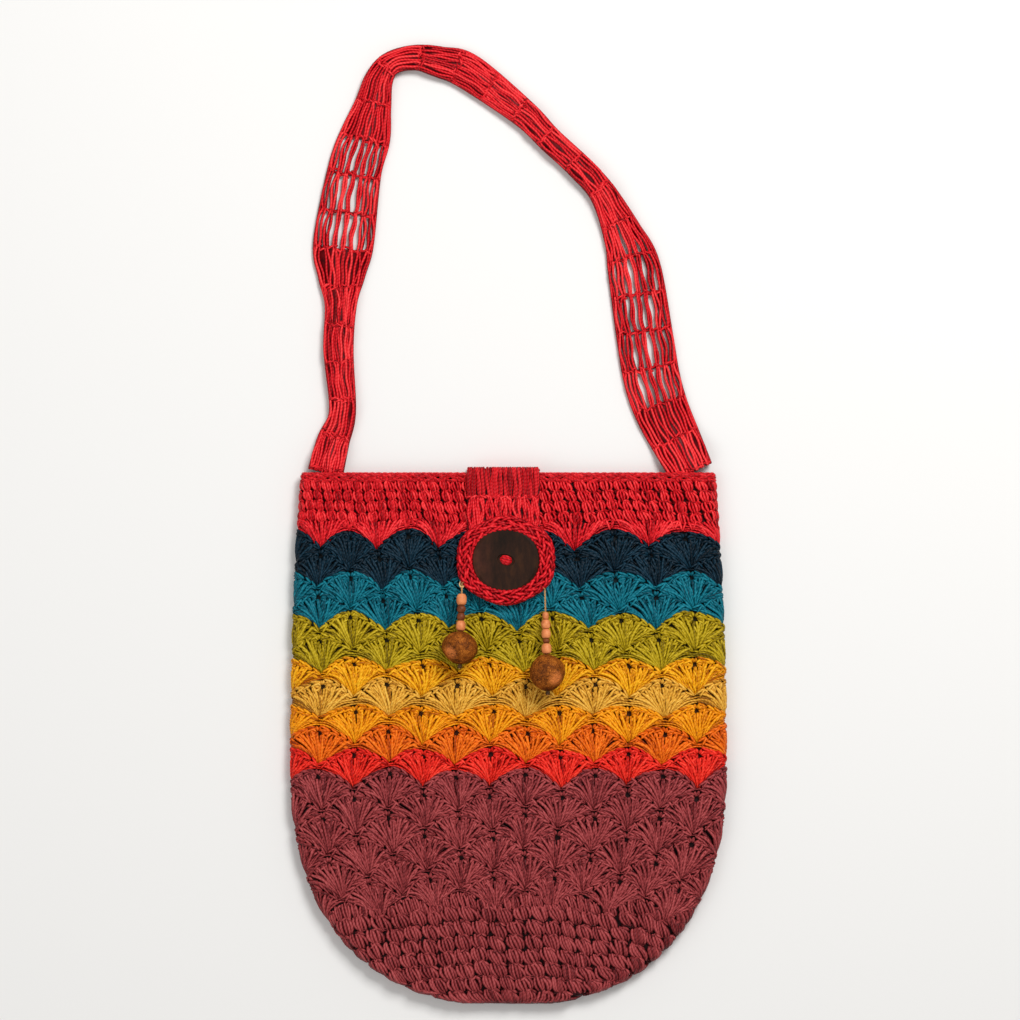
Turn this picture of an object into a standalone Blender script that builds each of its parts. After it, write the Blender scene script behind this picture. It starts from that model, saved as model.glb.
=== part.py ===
"""A crochet crossbody bag with a shoulder strap, a button and loop closure and two beaded charms.

The bag lies on its back. X runs across it, Y runs up it towards the strap and Z is the way the front faces.
The origin is on the flat back, a little under the rim. All sizes are in metres.
"""

import math

import bmesh
import bpy
from mathutils import Vector

# The bag's outline as it lies flat.
RIM_Y = 0.0297
BOTTOM_Y = -0.2834
CURVE_START_Y = -0.140
HALF_WIDTH = 0.1285
RIM_HALF_WIDTH = 0.122
OUTLINE_POWER = 2.4

# Its thickness: the folded sides, the crowned front and the crocheted wall.
FOLD_RADIUS = 0.005
CROWN = 0.0045
RIM_CROWN = 0.0012
CROWN_RUN = 0.060
WALL = 0.0024
RIDGE = 0.0016
SEAM_GAP = 0.0004
SEAT_GAP = 0.0004

# The shell stitch. Thirteen fans go round the bag, and each is cut into eight columns.
FANS_ROUND = 13
COLUMNS_PER_FAN = 8
COLUMNS = FANS_ROUND * COLUMNS_PER_FAN
FOLD_COLUMN = COLUMNS // 2
HALF_FAN = COLUMNS_PER_FAN // 2
FAN_HEIGHT = 0.0224
CREST_DROP = 0.0016
RED_FAN_POINT_Y = -0.0150
BOW_START_Y = -0.155
BOW_RUN = 0.080
BOW = 1.0
DRIFT = -0.0118
DRIFT_END_Y = -0.0873

# Each band of fans under the red one: name, rows of fans, spacing of its rows and colour.
BANDS = (
    ("band_navy", 2, 0.0118, (0.0044, 0.042, 0.073)),
    ("band_teal", 2, 0.0120, (0.0024, 0.202, 0.287)),
    ("band_green", 2, 0.0123, (0.376, 0.392, 0.007)),
    ("band_gold", 1, 0.0147, (0.888, 0.413, 0.005)),
    ("band_straw", 1, 0.0118, (0.723, 0.451, 0.102)),
    ("band_amber", 1, 0.0159, (0.823, 0.323, 0.008)),
    ("band_orange", 1, 0.0117, (0.745, 0.255, 0.010)),
    ("band_coral", 1, 0.0135, (0.807, 0.030, 0.014)),
    ("band_plum_base", 6, 0.0120, (0.275, 0.050, 0.063)),
)
RED = (0.578, 0.010, 0.021)

# The single crochet rows of the red band and of the base.
RIM_ROLL = 0.0045
RED_ROWS = 4
RED_ROW_PITCH = 0.0061
BASE_ROWS = 6
BASE_ROW_PITCH = 0.0078
BASE_INNER_LEVELS = (-0.190, -0.212, -0.232, -0.248, -0.262, -0.273)
# The rounded bottom: how far up it each line is, as a share of the fold's radius, and its share of the ridge.
BASE_TOE = ((1.1, 0.9), (0.45, 0.5), (0.12, 0.0))

# The strap's route from the left of the rim to the right of it: x, y and width.
STRAP_ROUTE = (
    (-0.1079, RIM_Y + SEAT_GAP, 0.0212),
    (-0.1035, 0.0485, 0.0194),
    (-0.0980, 0.0661, 0.0160),
    (-0.1004, 0.1020, 0.0179),
    (-0.0991, 0.1285, 0.0190),
    (-0.0988, 0.1449, 0.0276),
    (-0.0976, 0.1649, 0.0359),
    (-0.0910, 0.2079, 0.0320),
    (-0.0845, 0.2290, 0.0300),
    (-0.0800, 0.2473, 0.0220),
    (-0.0765, 0.2620, 0.0170),
    (-0.0695, 0.2715, 0.0140),
    (-0.0550, 0.2750, 0.0150),
    (-0.0397, 0.2722, 0.0186),
    (-0.0235, 0.2667, 0.0215),
    (0.0091, 0.2420, 0.0166),
    (0.0241, 0.2270, 0.0150),
    (0.0432, 0.2092, 0.0152),
    (0.0562, 0.1940, 0.0163),
    (0.0673, 0.1714, 0.0234),
    (0.0741, 0.1513, 0.0315),
    (0.0806, 0.1100, 0.0336),
    (0.0847, 0.0858, 0.0336),
    (0.0903, 0.0676, 0.0325),
    (0.0985, 0.0500, 0.0300),
    (0.1082, RIM_Y + SEAT_GAP, 0.0262),
)
STRAP_ROWS = 26
STRAP_STRANDS = 6
STRAP_OPEN_ROWS = (6, 7, 8, 19, 20, 21, 22, 23)
STRAP_THICKNESS = 0.0034
STRAP_BUNCHED_AREA = 0.000105
STRAP_BASE_THICKNESS = 0.0098
STRAP_BASE_RUN = 0.030
STRAP_RIDGE = 0.0009
STRAP_JOIN = 0.0022
STRAP_GAP_SHARE = 0.55

# The closure: the tab, the loop round the button, the button and its thread.
TAB_LEFT_X = -0.0250
TAB_RIGHT_X = 0.0191
TAB_THICKNESS = 0.0028
TAB_RIB = 0.0008
TAB_RIBS = 8
TAB_ROW_Y = 0.0156
TAB_GROOVE = 0.0022
BUTTON_X = -0.0015
BUTTON_Y = -0.0215
BUTTON_RADIUS = 0.020
BUTTON_THICKNESS = 0.0050
BUTTON_EDGE = 0.0018
BUTTON_LIFT = 0.0006
BUTTON_STEPS = 32
RECESS_LENGTH = 0.0106
RECESS_WIDTH = 0.0066
RECESS_DEPTH = 0.0013
HOLE_SPACING = 0.0046
HOLE_RADIUS = 0.0014
THREAD_RADIUS = 0.0010
STITCH_TURN = math.radians(-15)
LOOP_HALF_WIDTH = 0.0285
LOOP_HALF_HEIGHT = 0.0252
LOOP_HEIGHT = 0.0054
LOOP_CORNERS = 0.018
LOOP_STEPS = 36
LOOP_CLEARANCE = 0.0004
# The loop's section: share of its width from the button outwards, and share of its height.
LOOP_SECTION = ((0.0, 0.05), (0.0, 0.70), (0.22, 1.0), (0.42, 0.80), (0.66, 1.0), (1.0, 0.55), (1.0, 0.05))

# The charms: a knotted cord with turned beads and a seed on it.
CORD_RADIUS = 0.00055
CORD_STEP = 0.0026
BORE_RADIUS = 0.0009
BEAD_GAP = 0.0003
KNOT_SWELL = 2.6
KNOT_LENGTH = 0.0022
CORD_HEIGHT = 0.0030
SEED_CLEARANCE = 0.0005
BEAD_STEPS = 10
SEED_STEPS = 18
SEED_RINGS = 8
PEACH = (0.752, 0.296, 0.138)
BROWN = (0.205, 0.054, 0.014)
TAN = (0.578, 0.319, 0.114)
SEED_BROWN = (0.156, 0.046, 0.011)
# Each charm: side, angle round the loop, seed centre, seed radius and half length, and its beads from the seed up.
CHARMS = (
    (
        "left",
        math.radians(211),
        (-0.0282, -0.0726),
        0.0097,
        0.0097,
        (
            ("bead_lower_peach", 0.0028, 0.0059, PEACH),
            ("bead_lower_brown", 0.0024, 0.0044, BROWN),
            ("bead_upper_brown", 0.0026, 0.0041, BROWN),
            ("bead_upper_peach", 0.0030, 0.0065, PEACH),
        ),
    ),
    (
        "right",
        math.radians(-40),
        (0.0226, -0.0870),
        0.0100,
        0.0108,
        (
            ("bead_lowest_peach", 0.0029, 0.0059, PEACH),
            ("bead_brown_disc", 0.0021, 0.0026, BROWN),
            ("bead_third_peach", 0.0027, 0.0053, PEACH),
            ("bead_second_peach", 0.0027, 0.0053, PEACH),
            ("bead_small_peach", 0.0019, 0.0041, PEACH),
        ),
    ),
)


# Small helpers.


def clamp(value, low=0.0, high=1.0):
    return max(low, min(high, value))


def smooth(share):
    share = clamp(share)
    return share * share * (3.0 - 2.0 * share)


def clear_scene():
    for obj in list(bpy.data.objects):
        bpy.data.objects.remove(obj, do_unlink=True)


def material(name, colour, roughness):
    made = bpy.data.materials.get(name)
    if made is None:
        made = bpy.data.materials.new(name)
        made.use_nodes = True
        shader = made.node_tree.nodes["Principled BSDF"]
        shader.inputs["Base Color"].default_value = (*colour, 1.0)
        shader.inputs["Roughness"].default_value = roughness
        shader.inputs["Metallic"].default_value = 0.0
        made.diffuse_color = (*colour, 1.0)
    return made


def add_object(name, data, look, parent=None):
    obj = bpy.data.objects.new(name, data)
    bpy.context.scene.collection.objects.link(obj)
    data.materials.append(look)
    obj.parent = parent
    return obj


def finish_mesh(name, bm, look, parent=None):
    bmesh.ops.triangulate(bm, faces=[face for face in bm.faces if len(face.verts) > 4])
    bmesh.ops.recalc_face_normals(bm, faces=bm.faces)
    mesh = bpy.data.meshes.new(name)
    bm.to_mesh(mesh)
    bm.free()
    return add_object(name, mesh, look, parent)


def by_column(pair):
    return pair[0]


def zip_lines(bm, upper, lower, upper_key=by_column, lower_key=by_column):
    """Fills the strip between two lines of (column, vertex) with triangles, taking the lower key first."""
    i = j = 0
    while i < len(upper) - 1 or j < len(lower) - 1:
        if j == len(lower) - 1:
            take_upper = True
        elif i == len(upper) - 1:
            take_upper = False
        else:
            take_upper = upper_key(upper[i + 1]) <= lower_key(lower[j + 1])
        corners = [upper[i][1], lower[j][1]]
        if take_upper:
            i += 1
            corners.append(upper[i][1])
        else:
            j += 1
            corners.append(lower[j][1])
        if len(set(corners)) == 3:
            bm.faces.new(corners)


# The shape of the bag.


def half_width(y):
    """Half the bag's width at a height on its outline."""
    sunk = (CURVE_START_Y - y) / (CURVE_START_Y - BOTTOM_Y)
    if sunk > 0:
        return HALF_WIDTH * (1.0 - min(sunk, 1.0) ** OUTLINE_POWER) ** (1.0 / OUTLINE_POWER)
    raised = (y - CURVE_START_Y) / (RIM_Y - CURVE_START_Y)
    return HALF_WIDTH - (HALF_WIDTH - RIM_HALF_WIDTH) * raised**2


def bow(y):
    """How much the rows arch, growing towards the base."""
    return BOW * clamp((BOW_START_Y - y) / BOW_RUN)


def row_reach(y):
    """Half the width of the arched row whose middle is at y."""
    low, high = 0.0, HALF_WIDTH
    for _ in range(30):
        middle = (low + high) / 2.0
        if middle < half_width(y - bow(y) * middle**2):
            low = middle
        else:
            high = middle
    return low


def crown(x, y):
    """How far the front swells over the height of the folded sides."""
    rise = RIM_CROWN + (CROWN - RIM_CROWN) * smooth((RIM_Y - y) / CROWN_RUN)
    sunk = clamp((CURVE_START_Y - y) / (CURVE_START_Y - BOTTOM_Y))
    return rise * (1.0 - sunk**2) * clamp(1.0 - (x / HALF_WIDTH) ** 2)


def front_top(x, y):
    """The height of the highest stitches of the front."""
    return 2.0 * FOLD_RADIUS + crown(x, y) + RIDGE


def bag_point(column, y, lift=0.0, depth=0.0):
    """A point of the bag: a column round it, a height up it, a lift off the front and a depth into the wall."""
    on_front = column <= FOLD_COLUMN
    share = (column if on_front else COLUMNS - column) / FOLD_COLUMN
    fold = FOLD_RADIUS - depth
    flat = row_reach(y) - depth - fold
    arc = math.pi * fold / 2.0
    run = share * (2.0 * flat + 2.0 * arc)
    if run < arc:
        angle = run / fold
        x = -flat - fold * math.cos(angle)
    elif run > 2.0 * flat + arc:
        angle = (2.0 * flat + 2.0 * arc - run) / fold
        x = flat + fold * math.cos(angle)
    else:
        angle = math.pi / 2.0
        x = run - arc - flat
    toe = 1.0 - clamp((y - BOTTOM_Y - depth) / fold)
    height = fold * math.sin(angle) * math.sqrt(1.0 - toe**2)
    sunk_y = y - bow(y) * x**2
    if not on_front:
        return Vector((x, sunk_y, FOLD_RADIUS - height))
    z = FOLD_RADIUS + height + (crown(x, sunk_y) + lift) * height / fold
    drift = DRIFT * clamp((y - DRIFT_END_Y) / (RED_FAN_POINT_Y - DRIFT_END_Y)) * math.sin(math.pi * share)
    return Vector((x + drift, sunk_y, z))


def columns(step):
    """The columns of one line: close ones on the front, wide ones on the back, and one beside each fold."""
    front = set(range(0, FOLD_COLUMN + 1, step)) | {1, FOLD_COLUMN - 1}
    back = set(range(FOLD_COLUMN + HALF_FAN, COLUMNS, HALF_FAN)) | {FOLD_COLUMN + 1, COLUMNS - 1}
    return sorted(front | back)


FINE, MEDIUM, COARSE = columns(1), columns(2), columns(HALF_FAN)


def ring(bm, where, level, lift=None, depth=0.0, back_of=None):
    """A closed line round the bag. On the back it can share the vertices of another line."""
    shared = dict(back_of) if back_of else {}
    line = []
    for column in where:
        vert = shared.get(column) if column > FOLD_COLUMN else None
        if vert is None:
            raised = lift(column) if lift else 0.0
            vert = bm.verts.new(bag_point(column, level(column), raised, depth))
        line.append((column, vert))
    line.append((COLUMNS, line[0][1]))
    return line


def straight(y):
    return lambda column: y


def seam(top, valley, phase):
    """The scalloped top edge of a row of fans, whose domes stand over the columns of its phase."""

    def level(column):
        off = (column - phase + HALF_FAN) % COLUMNS_PER_FAN - HALF_FAN
        return top - (top - valley) * (off / HALF_FAN) ** 2

    return level


def lowered(level, by):
    return lambda column: level(column) - by


def fan_lift(phase):
    """The pleats along a dome's edge: ridges on the odd columns, and low corners between the domes."""

    def lift(column):
        off = (column - phase) % COLUMNS_PER_FAN
        if off % 2:
            return RIDGE
        return RIDGE * (0.30 if off == HALF_FAN else 0.55)

    return lift


def seam_lift(phase):
    """The line under a row above the next one's domes: lowest at the points of the upper fans."""

    def lift(column):
        return RIDGE * (0.0 if (column - phase) % COLUMNS_PER_FAN == HALF_FAN else 0.2)

    return lift


def fan_keys(phase):
    """Orders the vertices between a dome's edge and its point, so that the pleats meet at the point."""
    edge_order = (0.3, 0.4, 0.5, 0.6, 0.7, 0.9, 1.1, 1.2)
    foot_order = (0.0, 0.62, 0.65, 0.72, 0.75, 0.78, 0.80, 0.95)

    def keyed(order):
        def key(pair):
            turns, off = divmod(pair[0] - phase, COLUMNS_PER_FAN)
            return turns + order[off]

        return key

    return keyed(edge_order), keyed(foot_order)


def add_fan_row(bm, above, edge, phase, foot):
    """One row of fans: the step down to its domes' edge, then the pleats down to the foot line."""
    crest = ring(bm, FINE, edge, fan_lift(phase), back_of=above)
    zip_lines(bm, above, crest)
    edge_key, foot_key = fan_keys(phase)
    zip_lines(bm, crest, foot, edge_key, foot_key)


def add_crochet_rows(bm, above, top, pitch, count):
    """Rows of single crochet: a crest and a groove each. Gives back the last groove."""
    for row in range(count):
        crest = ring(bm, COARSE, straight(top - (row + 0.5) * pitch), lambda c: RIDGE, back_of=above)
        groove = ring(bm, COARSE, straight(top - (row + 1.0) * pitch), lambda c: 0.15 * RIDGE)
        zip_lines(bm, above, crest)
        zip_lines(bm, crest, groove)
        above = groove
    return above


class Row:
    """One row of fans: the heights of its points and domes, and the columns that its domes stand over."""

    def __init__(self, point_y, above_y, phase):
        self.point_y = point_y
        self.phase = phase
        self.seam = seam(point_y + FAN_HEIGHT, above_y, phase)


def fan_rows():
    """The rows of fans from the red one down, each band's in a list of its own."""
    phase = HALF_FAN
    point_y = RED_FAN_POINT_Y
    bands = []
    for _, count, pitch, _ in BANDS:
        rows = []
        for _ in range(count):
            above_y = point_y
            point_y -= pitch
            phase = HALF_FAN - phase
            rows.append(Row(point_y, above_y, phase))
        bands.append(rows)
    return bands


def add_red_band(first_row):
    """The rim, four rows of single crochet and the short red fans, down to the navy domes."""
    bm = bmesh.new()
    edge = ring(bm, COARSE, straight(RIM_Y), lambda c: 0.5 * RIDGE)
    roll = ring(bm, COARSE, straight(RIM_Y - 0.5 * RIM_ROLL), lambda c: RIDGE, back_of=edge)
    groove = ring(bm, COARSE, straight(RIM_Y - RIM_ROLL), lambda c: 0.2 * RIDGE)
    zip_lines(bm, edge, roll)
    zip_lines(bm, roll, groove)
    rows_top = RIM_Y - RIM_ROLL
    above = add_crochet_rows(bm, groove, rows_top, RED_ROW_PITCH, RED_ROWS)
    fan_edge = rows_top - RED_ROWS * RED_ROW_PITCH - CREST_DROP
    foot_level = lowered(first_row.seam, -SEAM_GAP / 2.0)
    foot = ring(bm, MEDIUM, foot_level, seam_lift(first_row.phase))
    add_fan_row(bm, above, straight(fan_edge), HALF_FAN - first_row.phase, foot)
    inner_foot = ring(bm, COARSE, foot_level, depth=WALL)
    inner_rim = ring(bm, COARSE, straight(RIM_Y), depth=WALL)
    zip_lines(bm, foot, inner_foot)
    zip_lines(bm, inner_foot, inner_rim)
    zip_lines(bm, inner_rim, edge)
    return finish_mesh("band_red_rim", bm, material("red_yarn", RED, 0.85))


def start_band(bm, row):
    """The top edge of a band, inside and out, under the band above."""
    level = lowered(row.seam, SEAM_GAP / 2.0)
    outer = ring(bm, MEDIUM, level, lambda c: 0.25 * RIDGE)
    inner = ring(bm, COARSE, level, depth=WALL)
    zip_lines(bm, outer, inner)
    return outer, inner


def add_fan_band(name, look, rows, next_row):
    """A band of one or two rows of fans, down to the domes of the next band."""
    bm = bmesh.new()
    above, inner_top = start_band(bm, rows[0])
    for row, following in zip(rows, [*rows[1:], next_row]):
        level = following.seam
        if following is next_row:
            level = lowered(level, -SEAM_GAP / 2.0)
        foot = ring(bm, MEDIUM, level, seam_lift(following.phase))
        add_fan_row(bm, above, lowered(row.seam, CREST_DROP), row.phase, foot)
        above = foot
    inner_foot = ring(bm, COARSE, level, depth=WALL)
    zip_lines(bm, above, inner_foot)
    zip_lines(bm, inner_foot, inner_top)
    return finish_mesh(name, bm, look)


def close_toe(bm, line):
    """Joins the front of the last line to its back."""
    at = dict(line[:-1])
    front = [column for column in at if column <= FOLD_COLUMN]
    for left, right in zip(front, front[1:]):
        corners = (at[left], at[right], at.get(COLUMNS - right), at.get(COLUMNS - left))
        kept = [vert for vert in dict.fromkeys(corners) if vert is not None]
        bm.faces.new(kept)


def add_plum_base(name, look, rows):
    """The plum fans and the single crochet base, closed along the bottom fold."""
    bm = bmesh.new()
    above, inner = start_band(bm, rows[0])
    for row, following in zip(rows, [*rows[1:], None]):
        if following:
            foot = ring(bm, MEDIUM, following.seam, seam_lift(following.phase))
        else:
            foot = ring(bm, MEDIUM, straight(row.point_y), lambda c: 0.1 * RIDGE)
        add_fan_row(bm, above, lowered(row.seam, CREST_DROP), row.phase, foot)
        above = foot
    base_top = rows[-1].point_y
    above = add_crochet_rows(bm, above, base_top, BASE_ROW_PITCH, BASE_ROWS)
    for rise, raised in BASE_TOE:
        toe = ring(bm, COARSE, straight(BOTTOM_Y + rise * FOLD_RADIUS), lambda c, r=raised: r * RIDGE)
        zip_lines(bm, above, toe)
        above = toe
    close_toe(bm, above)
    inner_fold = FOLD_RADIUS - WALL
    levels = [*BASE_INNER_LEVELS, BOTTOM_Y + WALL + inner_fold, BOTTOM_Y + WALL + 0.2 * inner_fold]
    for y in levels:
        lower = ring(bm, COARSE, straight(y), depth=WALL)
        zip_lines(bm, inner, lower)
        inner = lower
    close_toe(bm, inner)
    return finish_mesh(name, bm, look)


def add_bag():
    bands = fan_rows()
    add_red_band(bands[0][0])
    for index, (name, _, _, colour) in enumerate(BANDS):
        look = material(name.replace("band_", "") + "_yarn", colour, 0.85)
        if index + 1 < len(BANDS):
            add_fan_band(name, look, bands[index], bands[index + 1][0])
        else:
            add_plum_base(name, look, bands[index])


# The strap.


def smooth_route(points, steps):
    """Points of a Catmull-Rom curve through the given ones."""
    ends = [points[0], *points, points[-1]]
    made = []
    for index in range(1, len(ends) - 2):
        a, b, c, d = (Vector(p) for p in ends[index - 1 : index + 3])
        for step in range(steps):
            t = step / steps
            made.append(0.5 * (2 * b + (c - a) * t + (2 * a - 5 * b + 4 * c - d) * t**2
                               + (3 * b - 3 * c + d - a) * t**3))
    made.append(Vector(points[-1]))
    return made


class Strap:
    """Turns a distance along the strap and a place across it into points."""

    def __init__(self):
        self.points = smooth_route(STRAP_ROUTE, 12)
        self.at = [0.0]
        for a, b in zip(self.points, self.points[1:]):
            self.at.append(self.at[-1] + (b.xy - a.xy).length)
        self.length = self.at[-1]

    def centre(self, run):
        run = clamp(run, 0.0, self.length)
        index = max(i for i, at in enumerate(self.at[:-1]) if at <= run)
        share = (run - self.at[index]) / (self.at[index + 1] - self.at[index])
        return self.points[index].lerp(self.points[index + 1], share)

    def thickness(self, run):
        flat = clamp(STRAP_BUNCHED_AREA / self.centre(run).z, STRAP_THICKNESS, 2.2 * STRAP_THICKNESS)
        nearest_end = min(run, self.length - run)
        return STRAP_BASE_THICKNESS + (flat - STRAP_BASE_THICKNESS) * smooth(nearest_end / STRAP_BASE_RUN)

    def point(self, run, across, z):
        here = self.centre(run)
        ahead = self.centre(run + 0.003) - self.centre(run - 0.003)
        if run in (0.0, self.length):
            ahead = Vector((0.0, 1.0 if run == 0.0 else -1.0, 0.0))
        side = Vector((ahead.y, -ahead.x)).normalized()
        place = here.xy + side * ((across - 0.5) * here.z)
        return Vector((place.x, place.y, z))


def add_strap():
    """A flat crocheted net: lengthwise strands, joined once a row, and open between them where it is spread."""
    strap = Strap()
    bm = bmesh.new()
    last = 2 * STRAP_STRANDS - 2
    odd = list(range(1, last, 2))
    pitch = strap.length / STRAP_ROWS

    def top(run, column, ridge):
        edge = 0.72 if column in (0, last) else 1.0
        raised = 0.0 if column in odd else ridge
        return bm.verts.new(strap.point(run, column / last, edge * (strap.thickness(run) + raised)))

    def bottom(run, column):
        return bm.verts.new(strap.point(run, column / last, 0.0))

    def station(run, ridge, tips):
        upper = [(c, top(run, c, ridge)) for c in range(last + 1)]
        under = [0, *odd, last] if tips else [0, last]
        return upper, [(c, bottom(run, c)) for c in under]

    def bridge(a, b):
        zip_lines(bm, a[0], b[0])
        zip_lines(bm, b[1], a[1])
        for end in (0, -1):
            bm.faces.new((a[0][end][1], a[1][end][1], b[1][end][1], b[0][end][1]))

    def part_of(line, low, high):
        return [pair for pair in line if low <= pair[0] <= high]

    def add_open_row(a, b, run):
        """The strands between two joins, each with a gap beside it."""
        reach = STRAP_GAP_SHARE
        sides = [c + s for c in odd for s in (-reach, reach)]
        upper = [(c, top(run, c, STRAP_RIDGE)) for c in range(0, last + 1, 2)]
        upper += [(c, bm.verts.new(strap.point(run, c / last, strap.thickness(run)))) for c in sides]
        under = [(c, bottom(run, c)) for c in [0, *sides, last]]
        middle = (sorted(upper, key=by_column), sorted(under, key=by_column))
        for strand in range(0, last + 1, 2):
            low, high = strand - 1, strand + 1
            for end in (a, b):
                for layer in (0, 1):
                    zip_lines(bm, part_of(end[layer], low, high), part_of(middle[layer], low + reach, high - reach))
        at_a, at_b, at_middle = ([dict(layer) for layer in line] for line in (a, b, middle))
        for c in odd:
            for end in (at_a, at_b):
                for side in (c - reach, c + reach):
                    bm.faces.new((end[0][c], end[1][c], at_middle[1][side], at_middle[0][side]))
        for edge in (0, last):
            for end in (at_a, at_b):
                bm.faces.new((end[0][edge], end[1][edge], at_middle[1][edge], at_middle[0][edge]))

    before = station(0.0, 0.0, False)
    bm.faces.new([v for _, v in before[0]] + [v for _, v in reversed(before[1])])
    for row in range(STRAP_ROWS):
        start, end = row * pitch, (row + 1) * pitch
        if row in STRAP_OPEN_ROWS:
            first = station(start + STRAP_JOIN, 0.3 * STRAP_RIDGE, True)
            second = station(end - STRAP_JOIN, 0.3 * STRAP_RIDGE, True)
            bridge(before, first)
            add_open_row(first, second, (start + end) / 2.0)
            before = second
            continue
        runs = [((start + end) / 2.0, STRAP_RIDGE)]
        if row + 1 not in STRAP_OPEN_ROWS:
            runs.append((end if row + 1 < STRAP_ROWS else strap.length, 0.0))
        for run, ridge in runs:
            after = station(run, ridge, False)
            bridge(before, after)
            before = after
    bm.faces.new([v for _, v in before[0]] + [v for _, v in reversed(before[1])])
    return finish_mesh("shoulder_strap", bm, material("red_yarn", RED, 0.85))


# The closure.


def loop_edge(angle):
    """A point of the loop's outer edge, which is a slightly six-sided oval."""
    reach = 1.0 - LOOP_CORNERS * math.cos(6.0 * angle)
    x = BUTTON_X + LOOP_HALF_WIDTH * reach * math.cos(angle)
    y = BUTTON_Y + LOOP_HALF_HEIGHT * reach * math.sin(angle)
    return Vector((x, y))


def loop_top_y(x):
    """The height of the loop's upper edge at x, a seat gap further out."""
    widest = 1.0 + LOOP_CORNERS
    off = (x - BUTTON_X) / (LOOP_HALF_WIDTH * widest + SEAT_GAP)
    return BUTTON_Y + (LOOP_HALF_HEIGHT * widest + SEAT_GAP) * math.sqrt(1.0 - off**2)


def add_loop():
    bm = bmesh.new()
    inner_radius = BUTTON_RADIUS + LOOP_CLEARANCE
    rings = []
    for step in range(LOOP_STEPS):
        angle = 2.0 * math.pi * step / LOOP_STEPS
        outer = loop_edge(angle)
        inward = Vector((BUTTON_X - outer.x, BUTTON_Y - outer.y))
        inner = Vector((BUTTON_X, BUTTON_Y)) - inward.normalized() * inner_radius
        section = []
        for share, height in LOOP_SECTION:
            place = inner.lerp(outer, share)
            z = front_top(place.x, place.y) + SEAT_GAP + height * LOOP_HEIGHT
            section.append(bm.verts.new((place.x, place.y, z)))
        rings.append(section)
    for step, section in enumerate(rings):
        following = rings[(step + 1) % LOOP_STEPS]
        for index in range(len(section)):
            after = (index + 1) % len(section)
            bm.faces.new((section[index], section[after], following[after], following[index]))
    return finish_mesh("button_loop", bm, material("red_yarn", RED, 0.85))


def add_tab():
    """The tab from the back of the rim, over the mouth and down the front to the loop."""
    bm = bmesh.new()
    last = 2 * TAB_RIBS
    inner_y = RIM_Y + SEAT_GAP

    def station(inner, outer):
        lines = []
        for where, place in ((range(last + 1), outer), (range(0, last + 1, 4), inner)):
            line = []
            for column in where:
                x = TAB_LEFT_X + (TAB_RIGHT_X - TAB_LEFT_X) * column / last
                y, z = place(x, TAB_RIB if column % 2 else 0.0)
                line.append((column, bm.verts.new((x, y, z))))
            lines.append(line)
        return lines

    def lying(y_at):
        def under(x, rib):
            return y_at(x), front_top(x, min(y_at(x), RIM_Y)) + SEAT_GAP

        def over(x, rib):
            y, z = under(x, rib)
            return y, z + TAB_THICKNESS + rib

        return under, over

    def standing(height, rib_share):
        def place(x):
            return height * front_top(x, RIM_Y)

        return (lambda x, rib: (inner_y, place(x)),
                lambda x, rib: (inner_y + TAB_THICKNESS + rib * rib_share, place(x)))

    def corner_under(x, rib):
        return inner_y, front_top(x, RIM_Y) + SEAT_GAP

    def corner_over(x, rib):
        y, z = corner_under(x, rib)
        reach = 0.8 * (TAB_THICKNESS + rib)
        return y + reach, z + reach

    stations = [
        station(*standing(0.0, 0.5)),
        station(*standing(0.85, 1.0)),
        station(corner_under, corner_over),
        station(*lying(lambda x: RIM_Y - TAB_GROOVE)),
        station(*lying(lambda x: TAB_ROW_Y + TAB_GROOVE)),
        station(lying(lambda x: TAB_ROW_Y)[0],
                lambda x, rib: (TAB_ROW_Y, front_top(x, TAB_ROW_Y) + SEAT_GAP + 0.75 * TAB_THICKNESS)),
        station(*lying(lambda x: TAB_ROW_Y - TAB_GROOVE)),
        station(*lying(loop_top_y)),
    ]
    for a, b in zip(stations, stations[1:]):
        zip_lines(bm, a[0], b[0])
        zip_lines(bm, b[1], a[1])
        for end in (0, -1):
            bm.faces.new((a[0][end][1], a[1][end][1], b[1][end][1], b[0][end][1]))
    zip_lines(bm, stations[0][1], stations[0][0])
    zip_lines(bm, stations[-1][0], stations[-1][1])
    return finish_mesh("closure_tab", bm, material("red_yarn", RED, 0.85))


def turned(name, profile, steps, look, parent):
    """A solid turned about its own Z from a closed profile of (radius, height)."""
    bm = bmesh.new()
    rings = []
    for step in range(steps):
        angle = 2.0 * math.pi * step / steps
        rings.append([bm.verts.new((r * math.cos(angle), r * math.sin(angle), z)) for r, z in profile])
    for step, section in enumerate(rings):
        following = rings[(step + 1) % steps]
        for index in range(len(section)):
            after = (index + 1) % len(section)
            bm.faces.new((section[index], section[after], following[after], following[index]))
    obj = finish_mesh(name, bm, look, parent)
    obj.data.shade_smooth()
    obj.data.set_sharp_from_angle(angle=math.radians(40))
    return obj


def button_seat():
    """An empty on the front under the button, tilted with the cloth there."""
    rise = front_top(BUTTON_X, BUTTON_Y + BUTTON_RADIUS) - front_top(BUTTON_X, BUTTON_Y - BUTTON_RADIUS)
    slope = rise / (2.0 * BUTTON_RADIUS)
    samples = [BUTTON_RADIUS * (step / 8.0 - 1.0) for step in range(17)]
    height = max(front_top(BUTTON_X, BUTTON_Y + off) - slope * off for off in samples)
    seat = bpy.data.objects.new("button_seat", None)
    bpy.context.scene.collection.objects.link(seat)
    seat.location = (BUTTON_X, BUTTON_Y, height + BUTTON_LIFT)
    seat.rotation_euler = (math.atan(slope), 0.0, STITCH_TURN)
    return seat


def disc(bm, radius, z, steps):
    return [bm.verts.new((radius * math.cos(2 * math.pi * s / steps), radius * math.sin(2 * math.pi * s / steps), z))
            for s in range(steps)]


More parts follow.
